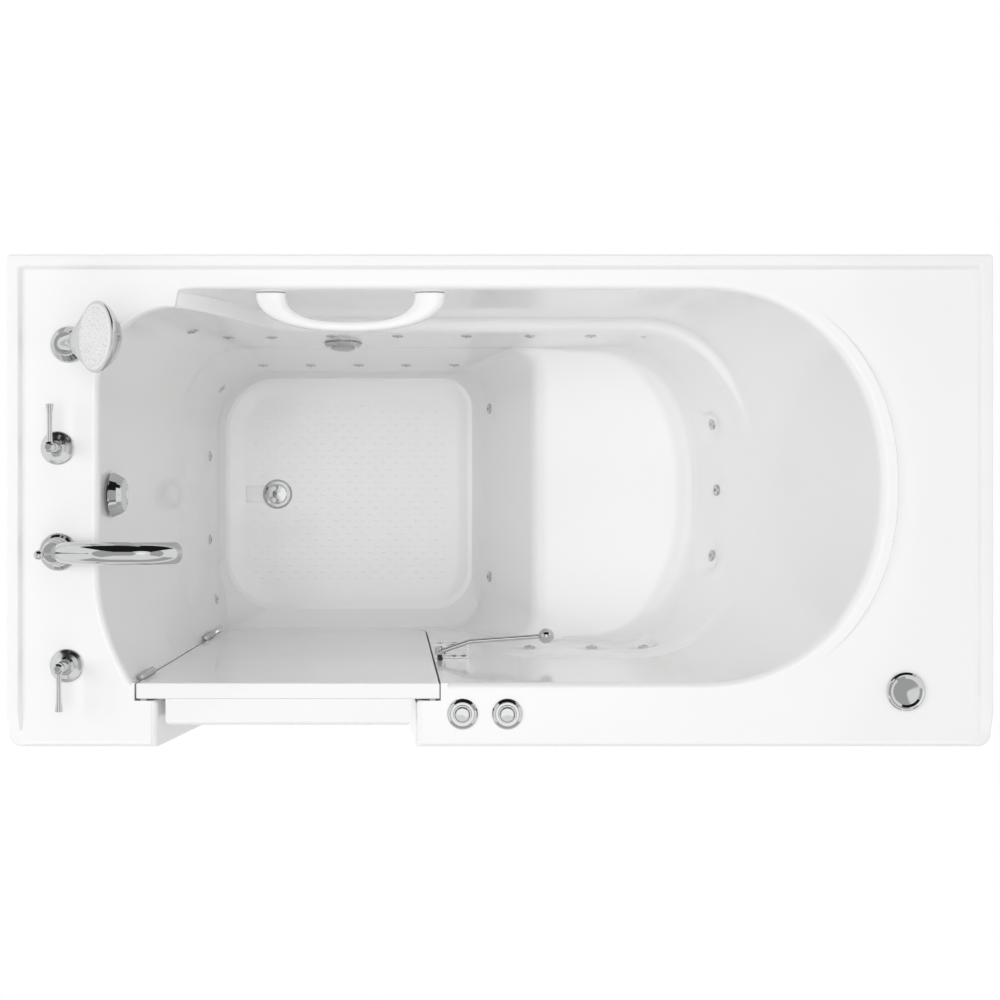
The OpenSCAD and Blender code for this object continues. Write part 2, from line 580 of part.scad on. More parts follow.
module door_frame() color(white) intersection() {
  difference() {
    in_door() plate(0, -frame_depth) frame_outline(-fit, 20);
    in_door() plate(1, rebate_y) panel_outline(hinge_gap, door_gap, 30);
    in_door() plate(1, -frame_depth - 1) opening_outline(0, 30);
    // hollow behind the rebate, open to the space under the deck
    intersection() {
      in_door() difference() {
        plate(rebate_y - shell_t, -frame_depth - 1) frame_outline(1, 30);
        plate(1, -frame_depth - 2) opening_outline(shell_t, 40);
      }
      front_bar(frame_left - 2, door_right + 20, shell_t);
    }
    at_hinges() translate([0, 0, -2]) rod(barrel_d + 1.6, hinge_l + 4);
  }
  front_bar(frame_left - 2, door_right + 20);
}

gasket_w = 9;
gasket_in = 6;
module door_gasket() color([0.2, 0.2, 0.21]) in_door() difference() {
  plate(rebate_y + gasket_t, rebate_y) panel_outline(-gasket_in, -gasket_in, -1);
  plate(1, rebate_y - 1) panel_outline(-gasket_in - gasket_w, -gasket_in - gasket_w, 10);
}

apron_top = deck_h - 16;
apron_foot = 12;                // gap under the apron
apron_x = tub_l/2 - shell_t - fit;
apron_flange = 28;
apron_r = corner_r + 2;         // outer radius of its bent corners
function arc(c, r, a0, a1, n = 6) = [for (k = [0:n]) c + r*[cos(lerp(a0, a1, k/n)), sin(lerp(a0, a1, k/n))]];
// The apron's line in plan, a distance g inside its outer face, from the left flange to the right
function apron_line(g) = let (c = apron_x - apron_r, r = apron_r - g) concat([[g - apron_x, apron_flange]],
  arc([-c, apron_r], r, 180, 270), arc([c, apron_r], r, 270, 360), [[apron_x - g, apron_flange]]);
module front_apron() color(white) difference() {
  translate([0, skirt_in + fit, apron_foot]) linear_extrude(apron_top - apron_foot)
    polygon(concat(apron_line(0), let (l = apron_line(apron_t)) [for (k = [1:len(l)]) l[len(l) - k]]));
  in_door() plate(1, -160) opening_outline(shell_t + fit, 60);
}
apron_screw_xs = [62 - tub_l/2, 40, 280, 520, tub_l/2 - 62];
apron_screw_zs = [110, 760];
screw_d = 4;
module apron_screws() color(steel) for (x = apron_screw_xs) for (z = apron_screw_zs)
  translate([x, skirt_in + fit, z]) rotate([90, 0, 0])
    turned([[0, 0], [4.5, 0], [4.2, 1.6], [2.5, 2.4], [0, 2.6]], 24);

// ---------- grab bar on the back wall, a flat bow in plan ----------
bar_x = -235;         // middle of the bow
bar_n = 16;
bar_y = back_y - (bar_d + bar_t/2)/(ledge_d - 8)*8 - fit;
// A point of the bow's outer or inner edge: half its length, its reach into the tub, and the angle
function bow(l, reach, e, a) = [bar_x, bar_y] + oval(0, 0, l, reach, e, a);
module grab_bar() color(white) loft([for (k = [0:11]) [for (j = [0:bar_n])
  let (a = 180 + 180*j/bar_n, w = oval(0, 0, 0.5, bar_t/2, 3.2, -30*k), o = bow(bar_l/2, bar_out, 2.3, a),
    i = bow(bar_l/2 - bar_root, bar_out - bar_w, 2.6, a)) [each lerp(i, o, 0.5 + w[0]), deck_h - bar_d + w[1]]]]);

// ---------- support frame and feet ----------
rail_y = tub_w/2 - shell_t - tube/2 - 8;
end_x = tub_l/2 - shell_t - tube/2 - 17;
weld = 0.2;
foot_h = floor_z - shell_t - fit - weld - 2*tube; // height of the frame's underside
rail_top = foot_h + tube;
member_xs = [-515, -330, -130];       // under the footwell
tray_xs = [170, 290];                 // under the blower
seat_beam_xs = [140, 320];
post_xs = [-end_x, end_x];
post_top = deck_h - shell_t - 8 - 2;
beam_z = seat_z - shell_t - fit - tube;
// A square tube from p, along X, Y or Z (axis 0, 1, 2), open at both ends
module tube_run(p, axis, len) translate(p) rotate(axis == 0 ? [0, 90, 0] : axis == 1 ? [-90, 0, 0] : [0, 0, 0])
  difference() {
    translate([-tube/2, -tube/2, 0]) cube([tube, tube, len]);
    translate([tube_wall - tube/2, tube_wall - tube/2, -1])
      cube([tube - 2*tube_wall, tube - 2*tube_wall, len + 2]);
  }
cross_len = 2*rail_y - tube - 2*weld;
module support_frame() color("gray") {
  difference() {
    for (s = [-1, 1]) tube_run([-end_x - tube/2, s*rail_y, foot_h + tube/2], 0, 2*end_x + tube);
    at_feet() translate([0, 0, foot_h - 5]) rod(stud_d + 0.6, tube_wall + 10, 24);
  }
  for (x = concat(post_xs, tray_xs)) tube_run([x, -rail_y + tube/2 + weld, foot_h + tube/2], 1, cross_len);
  for (x = member_xs) tube_run([x, -rail_y - tube/2, rail_top + weld + tube/2], 1, 2*rail_y + tube);
  for (s = [-1, 1]) {
    for (x = post_xs) tube_run([x, s*rail_y, rail_top + weld], 2, post_top - rail_top - weld);
    for (x = seat_beam_xs) tube_run([x, s*rail_y, rail_top + weld], 2, beam_z - rail_top - 2*weld);
  }
  tube_run([jamb_post_x, -rail_y, rail_top + weld], 2, post_top - rail_top - weld);
  for (x = seat_beam_xs) tube_run([x, -rail_y - tube/2, beam_z + tube/2], 1, 2*rail_y + tube);
}
jamb_post_x = -24;
foot_xs = [-end_x + 40, 0, end_x - 40];
stud_d = 12;
stud_foot = 6;
module at_feet() for (x = foot_xs) for (s = [-1, 1]) translate([x, s*rail_y, 0]) children();
module foot_studs() color(steel) at_feet() translate([0, 0, stud_foot]) rod(stud_d, foot_h + 16 - stud_foot);
module foot_pads() color("dimgray") at_feet() difference() {
  turned([[0, 0], [pad_d/2, 0], [pad_d/2, 5], [pad_d/2 - 8, 10], [11, 16], [0, 16]]);
  translate([0, 0, stud_foot - 0.2]) rod(stud_d + 0.2, 20);
}
module foot_nuts() color(steel) at_feet() translate([0, 0, foot_h - 10.2]) difference() {
  cylinder(d = 21, h = 10, $fn = 6);
  translate([0, 0, -1]) rod(stud_d + 0.2, 12);
}

// ---------- door with its hinges ----------
// Half of a butt hinge: leaf on side s (-1 frame, 1 door) and its knuckle from z0 to z1
module hinge_half(s, z0, z1) difference() {
  union() {
    translate([s < 0 ? -leaf_gap/2 - leaf_t : leaf_gap/2, 0, 0]) {
      translate([0, -leaf_w, 0]) cube([leaf_t, leaf_w - barrel_d/2 - 0.6, hinge_l]);
      translate([0, -barrel_d/2 - 1, z0]) cube([leaf_t, barrel_d/2 + 1, z1 - z0]);
    }
    translate([0, 0, z0]) rod(barrel_d, z1 - z0);
  }
  translate([0, 0, -1]) rod(hinge_pin_d + 2*pin_fit, hinge_l + 2);
}
knuckle_split = hinge_l - fixed_knuckle;
module hinge_frame_leaves() color(steel) at_hinges() hinge_half(-1, knuckle_split, hinge_l);
module hinge_door_leaves() color(steel) at_hinges() hinge_half(1, 0, knuckle_split - 0.4);
module hinge_pins() color(steel) at_hinges() translate([0, 0, -0.8]) {
  rod(hinge_pin_d, hinge_l + 1.2);
  translate([0, 0, hinge_l + 1]) turned([[0, 0], [barrel_d/2 - 0.5, 0], [barrel_d/2 - 0.8, 1], [0, 2]], 32);
}

module door_inner_panel() color(white) difference() {
  in_door() plate(0, -panel_t) panel_outline();
  at_hinges() translate([0, 0, -2]) rod(barrel_d + 1.6, hinge_l + 4);
}

cover_t = 5;
cover_seat = 0.1;
// Slice of the outer cover, inset on all sides, at depth y behind the door's face
module cover_slice(inset, y, h = 0.1) plate(y + h, y) body_outline(-inset, -inset, -inset, -inset);
module door_outer_cover() color(white) in_door() difference() {
  hull() {
    cover_slice(0, -panel_t - cover_seat - 0.1);
    cover_slice(0, -door_t + body_edge_r);
    cover_slice(0.3*body_edge_r, -door_t + 0.3*body_edge_r);
    cover_slice(body_edge_r, -door_t);
  }
  plate(-panel_t + 1, -door_t + cover_t) body_outline(-cover_t, -cover_t, -cover_t, -cover_t);
}

// ---------- door latch, on the wall beside the door's free edge ----------
latch_x = door_right - door_taper*latch_d/door_h + 12.9;
latch_y = 13.5;                 // middle of the hub, in front of the wall
bracket_l = 57;
bracket_lo = 23;                // bracket below and above the pivot
bracket_hi = 5;
bracket_t = 3;
bracket_depth = 25.6;
hub_d = 20;
hub_t = 12;
pivot_d = 6;
finger_d = 8.7;
finger_l = 30;
rod_rise = 15;                  // how far above the pivot the rod joins the finger
peg_d = 4;
// Latch parts are drawn from the pivot, Y into the tub and Z up the door's face
module at_latch() in_door() translate([latch_x, 0, -latch_d]) children();
module at_latch_screws() at_latch() for (x = [24, 40]) translate([x, fit, -12]) rotate([-90, 0, 0]) children();
module latch_bracket() color(chrome) at_latch() difference() {
  translate([-7, fit, -bracket_lo]) cube([bracket_l, bracket_depth, bracket_lo + bracket_hi]);
  translate([-8, fit + bracket_t, -bracket_lo - 1])
    cube([bracket_l - bracket_t + 1, bracket_depth - 2*bracket_t, bracket_lo + bracket_hi + 2]);
  translate([0, -1, 0]) rotate([-90, 0, 0]) rod(pivot_d + 0.1, bracket_depth + 3);
  for (x = [24, 40]) translate([x, -1, -12]) rotate([-90, 0, 0]) rod(screw_d + 0.2, bracket_t + 3, 24);
  for (x = [24, 40]) translate([x, bracket_depth - 6, -12]) rotate([-90, 0, 0]) rod(9, 8, 24);
}
module latch_screws() color(steel) at_latch_screws() translate([0, 0, bracket_t + 0.1])
  turned([[0, -bracket_t - 10], [screw_d/2, -bracket_t - 10], [screw_d/2, 0], [3.6, 0], [3.2, 1.4], [0, 2]], 24);
module latch_pin() color(steel) at_latch() translate([0, fit + 0.3, 0]) rotate([-90, 0, 0]) {
  rod(pivot_d, bracket_depth);
  translate([0, 0, bracket_depth - 0.1]) turned([[0, 0], [pivot_d - 0.5, 0], [pivot_d - 1, 1.2], [0, 2]], 32);
}
module latch_hub() color(chrome) at_latch() difference() {
  union() {
    translate([0, latch_y - hub_t/2, 0]) rotate([-90, 0, 0]) rod(hub_d, hub_t, 48);
    translate([0, latch_y, 0]) rod(finger_d, finger_l);
    translate([0, latch_y, finger_l]) sphere(d = finger_d, $fn = 32);
    translate([0, 4, finger_l - 4]) rotate([-90, 0, 0]) rod(peg_d, latch_y - 4);
  }
  translate([0, -1, 0]) rotate([-90, 0, 0]) rod(pivot_d + 2*pin_fit, 30);
  translate([0, latch_y, rod_rise]) aim(rod_bend) translate([0, 0, -0.5]) rod(peg_d + 0.1, 10);
}
pad_face = 0.6;                 // gap between the pad and the door's face once it is turned over it
module latch_pad() color("dimgray") at_latch() translate([0, 0, finger_l - 4]) rotate([-90, 0, 0])
difference() {
  translate([0, 0, pad_face]) rod(8.4, latch_y - finger_d/2 - 0.3 - pad_face);
  translate([0, 0, 3.9]) rod(peg_d + 0.1, 20, 24);
}
rod_bend = [52, 17.9, 0];       // from the finger to the bend in the rod
ball_at = [latch_l, 27.5, 1];   // from the finger to the ball
rod_start = finger_d/2 + 0.4;
module latch_rod() color(chrome) at_latch() translate([0, latch_y, rod_rise]) {
  aim(rod_bend) {
    rod(peg_d, rod_start + 1, 24);
    translate([0, 0, rod_start]) rod(rod_d, norm(rod_bend) - rod_start);
  }
  translate(rod_bend) {
    sphere(d = rod_d + 0.1, $fn = 32);
    aim(ball_at - rod_bend) rod(rod_d, norm(ball_at - rod_bend) - ball_d/2 + 9);
  }
}
module latch_ball() color(chrome) at_latch() translate([0, latch_y, rod_rise]) difference() {
  translate(ball_at) sphere(d = ball_d, $fn = 48);
  translate(rod_bend) aim(ball_at - rod_bend) rod(rod_d + 0.1, norm(ball_at - rod_bend) - ball_d/2 + 9.2);
}

// ---------- taps ----------
tail_l = 60;
shank_l = 18;         // how far the wide part of a valve's shank reaches below the deck
inlet_d = 21;         // its supply tail
bell_h = 24;
spindle_d = 8;
module valve_body(p) translate(p) {
  turned([[0, seat_gap], [escutcheon_d/2, seat_gap], [escutcheon_d/2, 1.4], [escutcheon_d/2 - 2.5, 4.2],
    [escutcheon_d/2 - 7, 7], [15, 9.6], [11.6, 13], [9.8, 18], [9.4, bell_h], [0, bell_h]], 64);
  translate([0, 0, -shank_l]) rod(shank_d, shank_l + 1, 48);
  translate([0, 0, -tail_l]) rod(inlet_d, tail_l - 1, 48);
  rod(spindle_d, bell_h + 9);
}
module hot_valve_body() color(chrome) valve_body(hot_at);
module cold_valve_body() color(chrome) valve_body(cold_at);
lever_hub_d = 18;
lever_d = 7.7;
lever_z = bell_h + 7;
// A lever handle that points along +Y at heading 0
module lever(p, heading) translate(p) rotate([0, 0, heading]) difference() {
  union() {
    translate([0, 0, bell_h + fit]) turned([[0, 0], [lever_hub_d/2, 0], [lever_hub_d/2, 8.5],
      [lever_hub_d/2 - 1.8, 11], [lever_hub_d/2 - 4.5, 12.4], [0, 12.9]], 48);
    translate([0, 0, lever_z]) rotate([-90, 0, 0]) turned([[0, 0], [lever_d/2 + 1, 0], [lever_d/2 + 0.6, 16],
      [lever_d/2, 24], [lever_d/2 + 0.3, lever_l - 14], [6, lever_l - 1], [5.4, lever_l], [0, lever_l + 0.6]], 32);
  }
  translate([0, 0, bell_h - 1]) rod(spindle_d + 2*pin_fit, 10.4);
}
module hot_lever() color(chrome) lever(hot_at, 0);
module cold_lever() color(chrome) lever(cold_at, 180);

nut_h = 9;
module deck_nut(p, across, bore) translate([p[0], p[1], deck_h - shell_t - fit - nut_h]) difference() {
  cylinder(d = across, h = nut_h, $fn = 6);
  translate([0, 0, -1]) rod(bore + 0.2, nut_h + 2, 48);
}
module valve_nuts() color("goldenrod") {
  deck_nut(hot_at, 36, shank_d);
  deck_nut(cold_at, 36, shank_d);
  deck_nut(spout_at, 42, spout_shank_d);
  deck_nut(shower_at, 52, cradle_shank_d);
}

// Spout: the centre line rises at 60 degrees, sweeps over and turns down into the well
rise_at = [12, 0, 22];          // start of the first sweep, from the spout's place
rise_a = 60;
sweep_r = 110;
drop_r = 60;
flat_l = 30;
sweep_c = [rise_at[0] + sweep_r*sin(rise_a), 0, rise_at[2] - sweep_r*cos(rise_a)];
flat_at = [sweep_c[0], 0, sweep_c[2] + sweep_r];
drop_c = [flat_at[0] + flat_l, 0, flat_at[2] - drop_r];
spout_bore_d = 26;
diverter_x = 9;
diverter_d = 4;
// A bent piece of the tube in the XZ plane: centre c, radius r, from angle a0 over angle da
module spout_bend(c, r, a0, da, d) translate(c) rotate([90, 0, 0]) rotate([0, 0, a0])
  rotate_extrude(angle = da, $fn = 96) translate([r, 0]) circle(d = d, $fn = 48);
module spout_run(d) {
  spout_bend(sweep_c, sweep_r, 90, rise_a, d);
  translate(flat_at) rotate([0, 90, 0]) rod(d, flat_l, 48);
  spout_bend(drop_c, drop_r, 90, -60, d);
}
module spout() color(chrome) translate(spout_at) difference() {
  union() {
    spout_run(spout_d);
    translate([0, 0, -tail_l]) turned([[0, 0], [spout_shank_d/2, 0], [spout_shank_d/2, tail_l + seat_gap],
      [spout_flange_d/2, tail_l + seat_gap], [spout_flange_d/2, tail_l + 1.8], [spout_flange_d/2 - 2, tail_l + 4.4],
      [spout_flange_d/2 - 6, tail_l + 8], [21, tail_l + 13], [20.5, tail_l + 18], [19, tail_l + 24], [15, tail_l + 30],
      [0, tail_l + 31]], 64);
  }
  spout_run(spout_bore_d);
  translate([0, 0, -tail_l - 1]) rod(16, tail_l + 26);
  translate([diverter_x, 0, 12]) rod(diverter_d + 0.3, 60, 24);
}
diverter_top = 132;
diverter_lift = 12;
module diverter_knob() color(chrome) translate(spout_at) translate([diverter_x, 0, 0]) {
  translate([0, 0, 18]) rod(diverter_d, diverter_top - 18, 24);
  translate([0, 0, diverter_top]) sphere(d = 15, $fn = 48);
}

// ---------- hand shower in its deck cradle ----------
cradle_bore_d = 24.6;
handle_d = 24;
module shower_cradle() color(chrome) translate(shower_at) difference() {
  union() {
    turned([[0, seat_gap], [28.3, seat_gap], [28.3, 1.6], [26.5, 5], [22, 9.5], [18.5, 13], [17, 17], [17, 20],
      [0, 20]], 64);
    translate([0, 0, -50]) rod(cradle_shank_d, 51, 48);
  }
  translate([0, 0, -51]) rod(cradle_bore_d, 72, 48);
}
head_at = [74, 0, 115];         // middle of the spray head, from the cradle's place
head_n = [-0.896, 0, 0.443];    // the way its spray face looks
head_t = 12;
face_d = shower_d - 8.5;
// Balls that the neck runs through, from the handle to the head's back: X, Z and diameter
neck = [[21, 38, 32], [50.2, 51, 32], [70.6, 65.4, 34], [79.4, 96.7, 24]];
module neck_ball(k) translate([neck[k][0], 0, neck[k][1]]) sphere(d = neck[k][2], $fn = 20);
module hand_shower() color(chrome) translate(shower_at) {
  translate([0, 0, -45]) rod(handle_d, 66, 32);
  hull() {
    translate([0, 0, 20.5]) rod(handle_d, 1, 20);
    neck_ball(0);
  }
  for (k = [0:len(neck) - 2]) hull() {
    neck_ball(k);
    neck_ball(k + 1);
  }
  translate(head_at) aim(head_n) difference() {
    turned([[0, -head_t - 2], [24, -head_t], [40, -8], [shower_d/2 - 3, -3.5], [shower_d/2, 0],
      [shower_d/2, 4], [shower_d/2 - 1.5, 6], [0, 6]], 48);
    translate([0, 0, 3]) rod(face_d + 0.6, 5, 48);
  }
}
module shower_face() color(white) translate(shower_at) translate(head_at) aim(head_n) translate([0, 0, 3 + fit])
  turned([[0, 0], [face_d/2, 0], [face_d/2, 2], [face_d/2 - 1, 2.7], [0, 3]], 64);

// ---------- drain and overflow ----------
throat_l = 30;
throat_bore_d = 36;
guide_d = 8;
module drain_flange() color(chrome) translate(drain_at) difference() {
  union() {
    turned([[0, -1.3], [drain_d/2, -1.3], [drain_d/2, -0.4], [drain_d/2 - 4, 1], [stopper_d/2 + 0.5, 1],
      [0, 1]], 64);
    translate([0, 0, -throat_l]) rod(drain_throat_d, throat_l - 0.5, 64);
  }
  translate([0, 0, -0.6]) rod(stopper_d + 0.8, 4, 64);
  difference() {
    translate([0, 0, -throat_l - 1]) rod(throat_bore_d, throat_l + 4, 64);
    translate([-throat_bore_d, -2.5, -26]) cube([2*throat_bore_d, 5, 12]);
    translate([0, 0, -26]) rod(14, 12);
  }
  translate([0, 0, -throat_l - 1]) rod(guide_d + 2*pin_fit, throat_l);
}
module drain_stopper() color(chrome) translate(drain_at) {
  turned([[0, -0.4], [stopper_d/2, -0.4], [stopper_d/2, 1.4], [stopper_d/2 - 2, 2.5], [10, 3.2], [0, 3.4]], 64);
  translate([0, 0, -28]) rod(guide_d, 28);
  translate([0, 0, -3]) rod(throat_bore_d - 1, 3, 48);
}
shoe_d = 56;
waste_d = 38.1;
branch_z = 66;                  // middle of the pipe that joins the overflow
overflow_pipe_x = left_x - 42;
module drain_shoe() color("dimgray") translate([drain_at[0], drain_at[1], 0]) difference() {
  union() {
    translate([0, 0, 44]) rod(shoe_d - 8, floor_z - shell_t - 44 - 8.5, 48);
    translate([0, 0, floor_z - shell_t - 9]) rod(shoe_d, 9 - fit, 48);
    translate([0, 0, 20]) rod(waste_d, 30, 48);
    translate([0, 0, branch_z]) rotate([0, -90, 0]) rod(waste_d, 60, 48);
  }
  translate([0, 0, floor_z - throat_l - 1]) rod(drain_throat_d + 0.2, throat_l + 2, 48);
  translate([0, 0, 19]) rod(waste_d - 4, 90, 48);
}
overflow_turn = 90;
spigot_d = 30;
module overflow_body() color("dimgray") translate(overflow_at) {
  translate([2.6, 0, 0]) rotate([0, -90, 0]) {
    rod(overflow_tube_d, 34, 48);
    translate([0, 0, 12]) rod(52, 6, 48);
    translate([0, 0, -16]) rod(spigot_d, 18, 48);
  }
  translate([overflow_pipe_x - overflow_at[0], 0, -22]) rod(46, 44, 48);
}
module overflow_knob() color(chrome) translate(overflow_at) translate([4.5, 0, 0]) rotate([0, 90, 0])
difference() {
  turned([[0, 0], [overflow_d/2, 0], [overflow_d/2, 1.5], [overflow_d/2 - 5, 12], [27, 17], [25, 19],
    [0, 20]], 64);
  translate([0, 0, -1]) rod(spigot_d + 2*pin_fit, 16.5, 48);
}
module overflow_pipe() color("dimgray") {
  translate([overflow_pipe_x, overflow_at[1], branch_z]) {
    rod(waste_d, overflow_at[2] - 22 - branch_z - fit, 48);
    sphere(d = waste_d, $fn = 48);
  }
  translate([overflow_pipe_x, overflow_at[1], branch_z]) rotate([0, 90, 0])
    rod(waste_d, drain_at[0] - 60 - fit - overflow_pipe_x, 48);
}

// ---------- jets, by wall ----------
module jets_back_upper() color(chrome) jets_upper() jet();
module jets_back_lower() color(chrome) jets_lower() jet();
module jets_seat_riser() color(chrome) jets_riser() jet();
module jets_left_wall() color(chrome) jets_left() jet();
module jets_backrest() color(chrome) jets_rest() jet();
module jets_front_seat() color(chrome) jets_front() jet();
module jet_nuts() color("dimgray") all_jets() translate([0, 0, -shell_t - 9.5]) ring(25, jet_stem_d + 0.1, 6);

// ---------- light on the back wall ----------
module light_bezel() color(chrome) face_out(light_at, -90, up_tilt) difference() {
  union() {
    turned([[0, 1.2], [light_d/2, 1.2], [light_d/2, 3], [light_d/2 - 3, 7.5], [light_d/2 - 6, 9.5],
      [0, 9.5]], 64);
    translate([0, 0, -28]) rod(light_can_d, 30, 48);
  }
  translate([0, 0, -24]) rod(light_can_d - 4, 60, 48);
}
module light_lens() color([0.85, 0.9, 0.95]) face_out(light_at, -90, up_tilt)
  turned([[0, 0], [light_can_d/2 - 2.3, 0], [light_can_d/2 - 2.3, 10.5], [19, 13], [12, 15.2], [0, 16]], 64);

// ---------- air buttons and canister ----------
module bezel(p) translate(p) difference() {
  union() {
    turned([[0, seat_gap], [bezel_d/2, seat_gap], [bezel_d/2, 1.2], [bezel_d/2 - 2, 3.4], [bezel_d/2 - 5, 5],
      [18.6, 5], [18, 4.2], [14.6, 4.2], [13.8, 6.2], [13.2, 6.2], [0, 6.2]], 64);
    translate([0, 0, -45]) rod(bezel_shank_d, 46, 48);
  }
  translate([0, 0, -40]) rod(button_d + 0.6, 60, 48);
}
module button_bezels() color(chrome) {
  bezel(left_button_at);
  bezel(right_button_at);
}
module button(p) translate(p) {
  turned([[0, -16], [button_d/2, -16], [button_d/2, 5.4], [button_d/2 - 1, 6.6], [button_d/2 - 2.4, 7.2],
    [0, 7.4]], 48);
  translate([0, 0, -30]) rod(9, 16, 32);
}
module left_button() color(chrome) button(left_button_at);
module right_button() color(chrome) button(right_button_at);

cup_depth = 62;
cup_wall = 2;
dish_d = canister_d - 11;
module canister_cup() color("gainsboro") translate(canister_at) difference() {
  union() {
    turned([[0, seat_gap], [canister_d/2 - 1, seat_gap], [canister_d/2 - 1, 1.6], [0, 1.6]], 64);
    translate([0, 0, -cup_depth]) rod(cup_d, cup_depth + 1, 48);
  }
  translate([0, 0, -cup_depth + cup_wall]) rod(cup_d - 2*cup_wall, cup_depth + 4, 48);
}
module canister_cap() color(chrome) translate(canister_at) difference() {
  union() {
    turned([[0, 1.9], [canister_d/2, 1.9], [canister_d/2, 4], [canister_d/2 - 1.6, 5.6], [dish_d/2 + 2, 6.4],
      [dish_d/2, 5.9], [dish_d/2 - 4, 4], [0, 3.4]], 64);
    translate([0, 0, -6]) rod(cup_d - 2*cup_wall - 0.6, 8, 48);
  }
  translate([0, 0, -7]) rod(cup_d - 2*cup_wall - 6, 7, 48);
}

// ---------- blower and air pipes ----------
blower_x = 230;
blower_y = 20;
pipe_d = 32;
low_pipe_z = deck_h - low_jet_d - 10;
low_pipe_y = low_wall_y(low_jet_d) + jet_tail + 10;
up_pipe_z = deck_h - low_row_d - 1.7;
up_pipe_y = back_wall_y(0, low_row_d) + jet_tail + 10;
left_pipe_x = left_foot_x(left_jet_d) - jet_tail - 9;
rest_pipe = [backrest_at(rest_jet_d) + 37, deck_h - rest_jet_d - 20];
front_pipe = [front_wall_y(front_jet_d) - jet_tail - 9, deck_h - front_jet_d - 2];
riser_pipe = [riser_at(riser_jet_d) + 42, deck_h - riser_jet_d - 17];
blower_pipe_y = blower_y + 92;
module air_blower() color("dimgray") translate([blower_x, blower_y, rail_top + weld]) difference() {
  union() {
    translate([-85, -80, 0]) cube([170, 160, 6]);
    turned([[0, 5], [66, 5], [66, 96], [74, 100], [88, 108], [88, 172], [80, 180], [30, 184], [0, 184]], 64);
    translate([0, 60, low_pipe_z - rail_top]) rotate([-90, 0, 0]) rod(46, 30, 48);
  }
  translate([0, 74, low_pipe_z - rail_top]) rotate([-90, 0, 0]) rod(pipe_d + 0.4, 20, 48);
}
elbow_d = pipe_d + 6;           // ball elbows of the pipes
// A straight pipe from a to b with an elbow at b
module pipe(a, b, d = pipe_d) {
  translate(a) aim(b - a) rod(d, norm(b - a), 48);
  translate(b) sphere(d = elbow_d, $fn = 48);
}
up_left = [-534, up_pipe_y, up_pipe_z];
up_right = [rest_pipe[0], up_pipe_y, up_pipe_z];
rest_back = [rest_pipe[0], 150, rest_pipe[1]];
rest_front = [rest_pipe[0], -110, rest_pipe[1]];
front_right = [rest_pipe[0], front_pipe[0], front_pipe[1]];
low_right = [blower_x, low_pipe_y, low_pipe_z];
low_left = [-538, low_pipe_y, low_pipe_z];
left_back = [left_pipe_x, back_y - 110, low_pipe_z];
left_front = [left_pipe_x, front_y + 172, low_pipe_z];
module air_manifold() color("whitesmoke") difference() {
  union() {
    pipe(up_right, up_left);
    pipe([up_left[0], up_left[1] - 4, up_pipe_z], [up_left[0], up_left[1] - 4, deck_h - corner_jet[1] + 8]);
    translate([upper_jets[0][0], up_pipe_y, up_pipe_z + 9]) sphere(d = pipe_d + 12, $fn = 48);
    pipe(up_right, rest_back);
    pipe(rest_back, rest_front);
    pipe(rest_front, front_right);
    pipe(front_right, [40, front_pipe[0], front_pipe[1]]);
    translate(up_right) sphere(d = elbow_d, $fn = 48);
    pipe([blower_x, up_pipe_y, up_pipe_z], [blower_x, up_pipe_y, low_pipe_z]);
    pipe([blower_x, up_pipe_y, low_pipe_z], low_right);
    translate([blower_x, blower_pipe_y - 12, low_pipe_z]) rotate([-90, 0, 0])
      rod(pipe_d, low_pipe_y - blower_pipe_y + 12, 48);
    pipe(low_right, low_left);
    pipe(low_left, left_back);
    pipe(left_back, left_front);
    pipe(left_front, [left_pipe_x + 12, front_y + 76, low_pipe_z]);
    pipe([riser_pipe[0], low_pipe_y, low_pipe_z], [riser_pipe[0], low_pipe_y, riser_pipe[1]]);
    pipe([riser_pipe[0], low_pipe_y, riser_pipe[1]], [riser_pipe[0], -170, riser_pipe[1]]);
  }
  all_jets() translate([0, 0, -jet_tail - fit]) rod(jet_stem_d + 0.4, 30, 24);
}

tub_shell();
door_frame();
door_gasket();
front_apron();
apron_screws();
grab_bar();
support_frame();
foot_studs();
foot_pads();
foot_nuts();
hinge_frame_leaves();
hinge_pins();
hinge_door_leaves();
door_inner_panel();
door_outer_cover();
latch_bracket();
latch_screws();
latch_pin();
latch_hub();
latch_pad();
latch_rod();
latch_ball();
hot_valve_body();
hot_lever();
cold_valve_body();
cold_lever();
valve_nuts();
spout();
diverter_knob();
shower_cradle();
hand_shower();
shower_face();
drain_flange();
drain_shoe();
drain_stopper();
overflow_body();
overflow_knob();
overflow_pipe();
jets_back_upper();
jets_back_lower();
jets_seat_riser();
jets_left_wall();
jets_backrest();
jets_front_seat();
jet_nuts();
light_bezel();
light_lens();
button_bezels();
left_button();
right_button();
canister_cup();
canister_cap();
air_blower();
air_manifold();
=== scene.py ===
"""Looks of the walk-in bathtub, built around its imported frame.

X runs along the tub towards the backrest, Y towards the wall, Z up. Forms are worked out in millimetres, with
depths measured down from the deck, and become metres as they are made into meshes.
"""
import json
import math

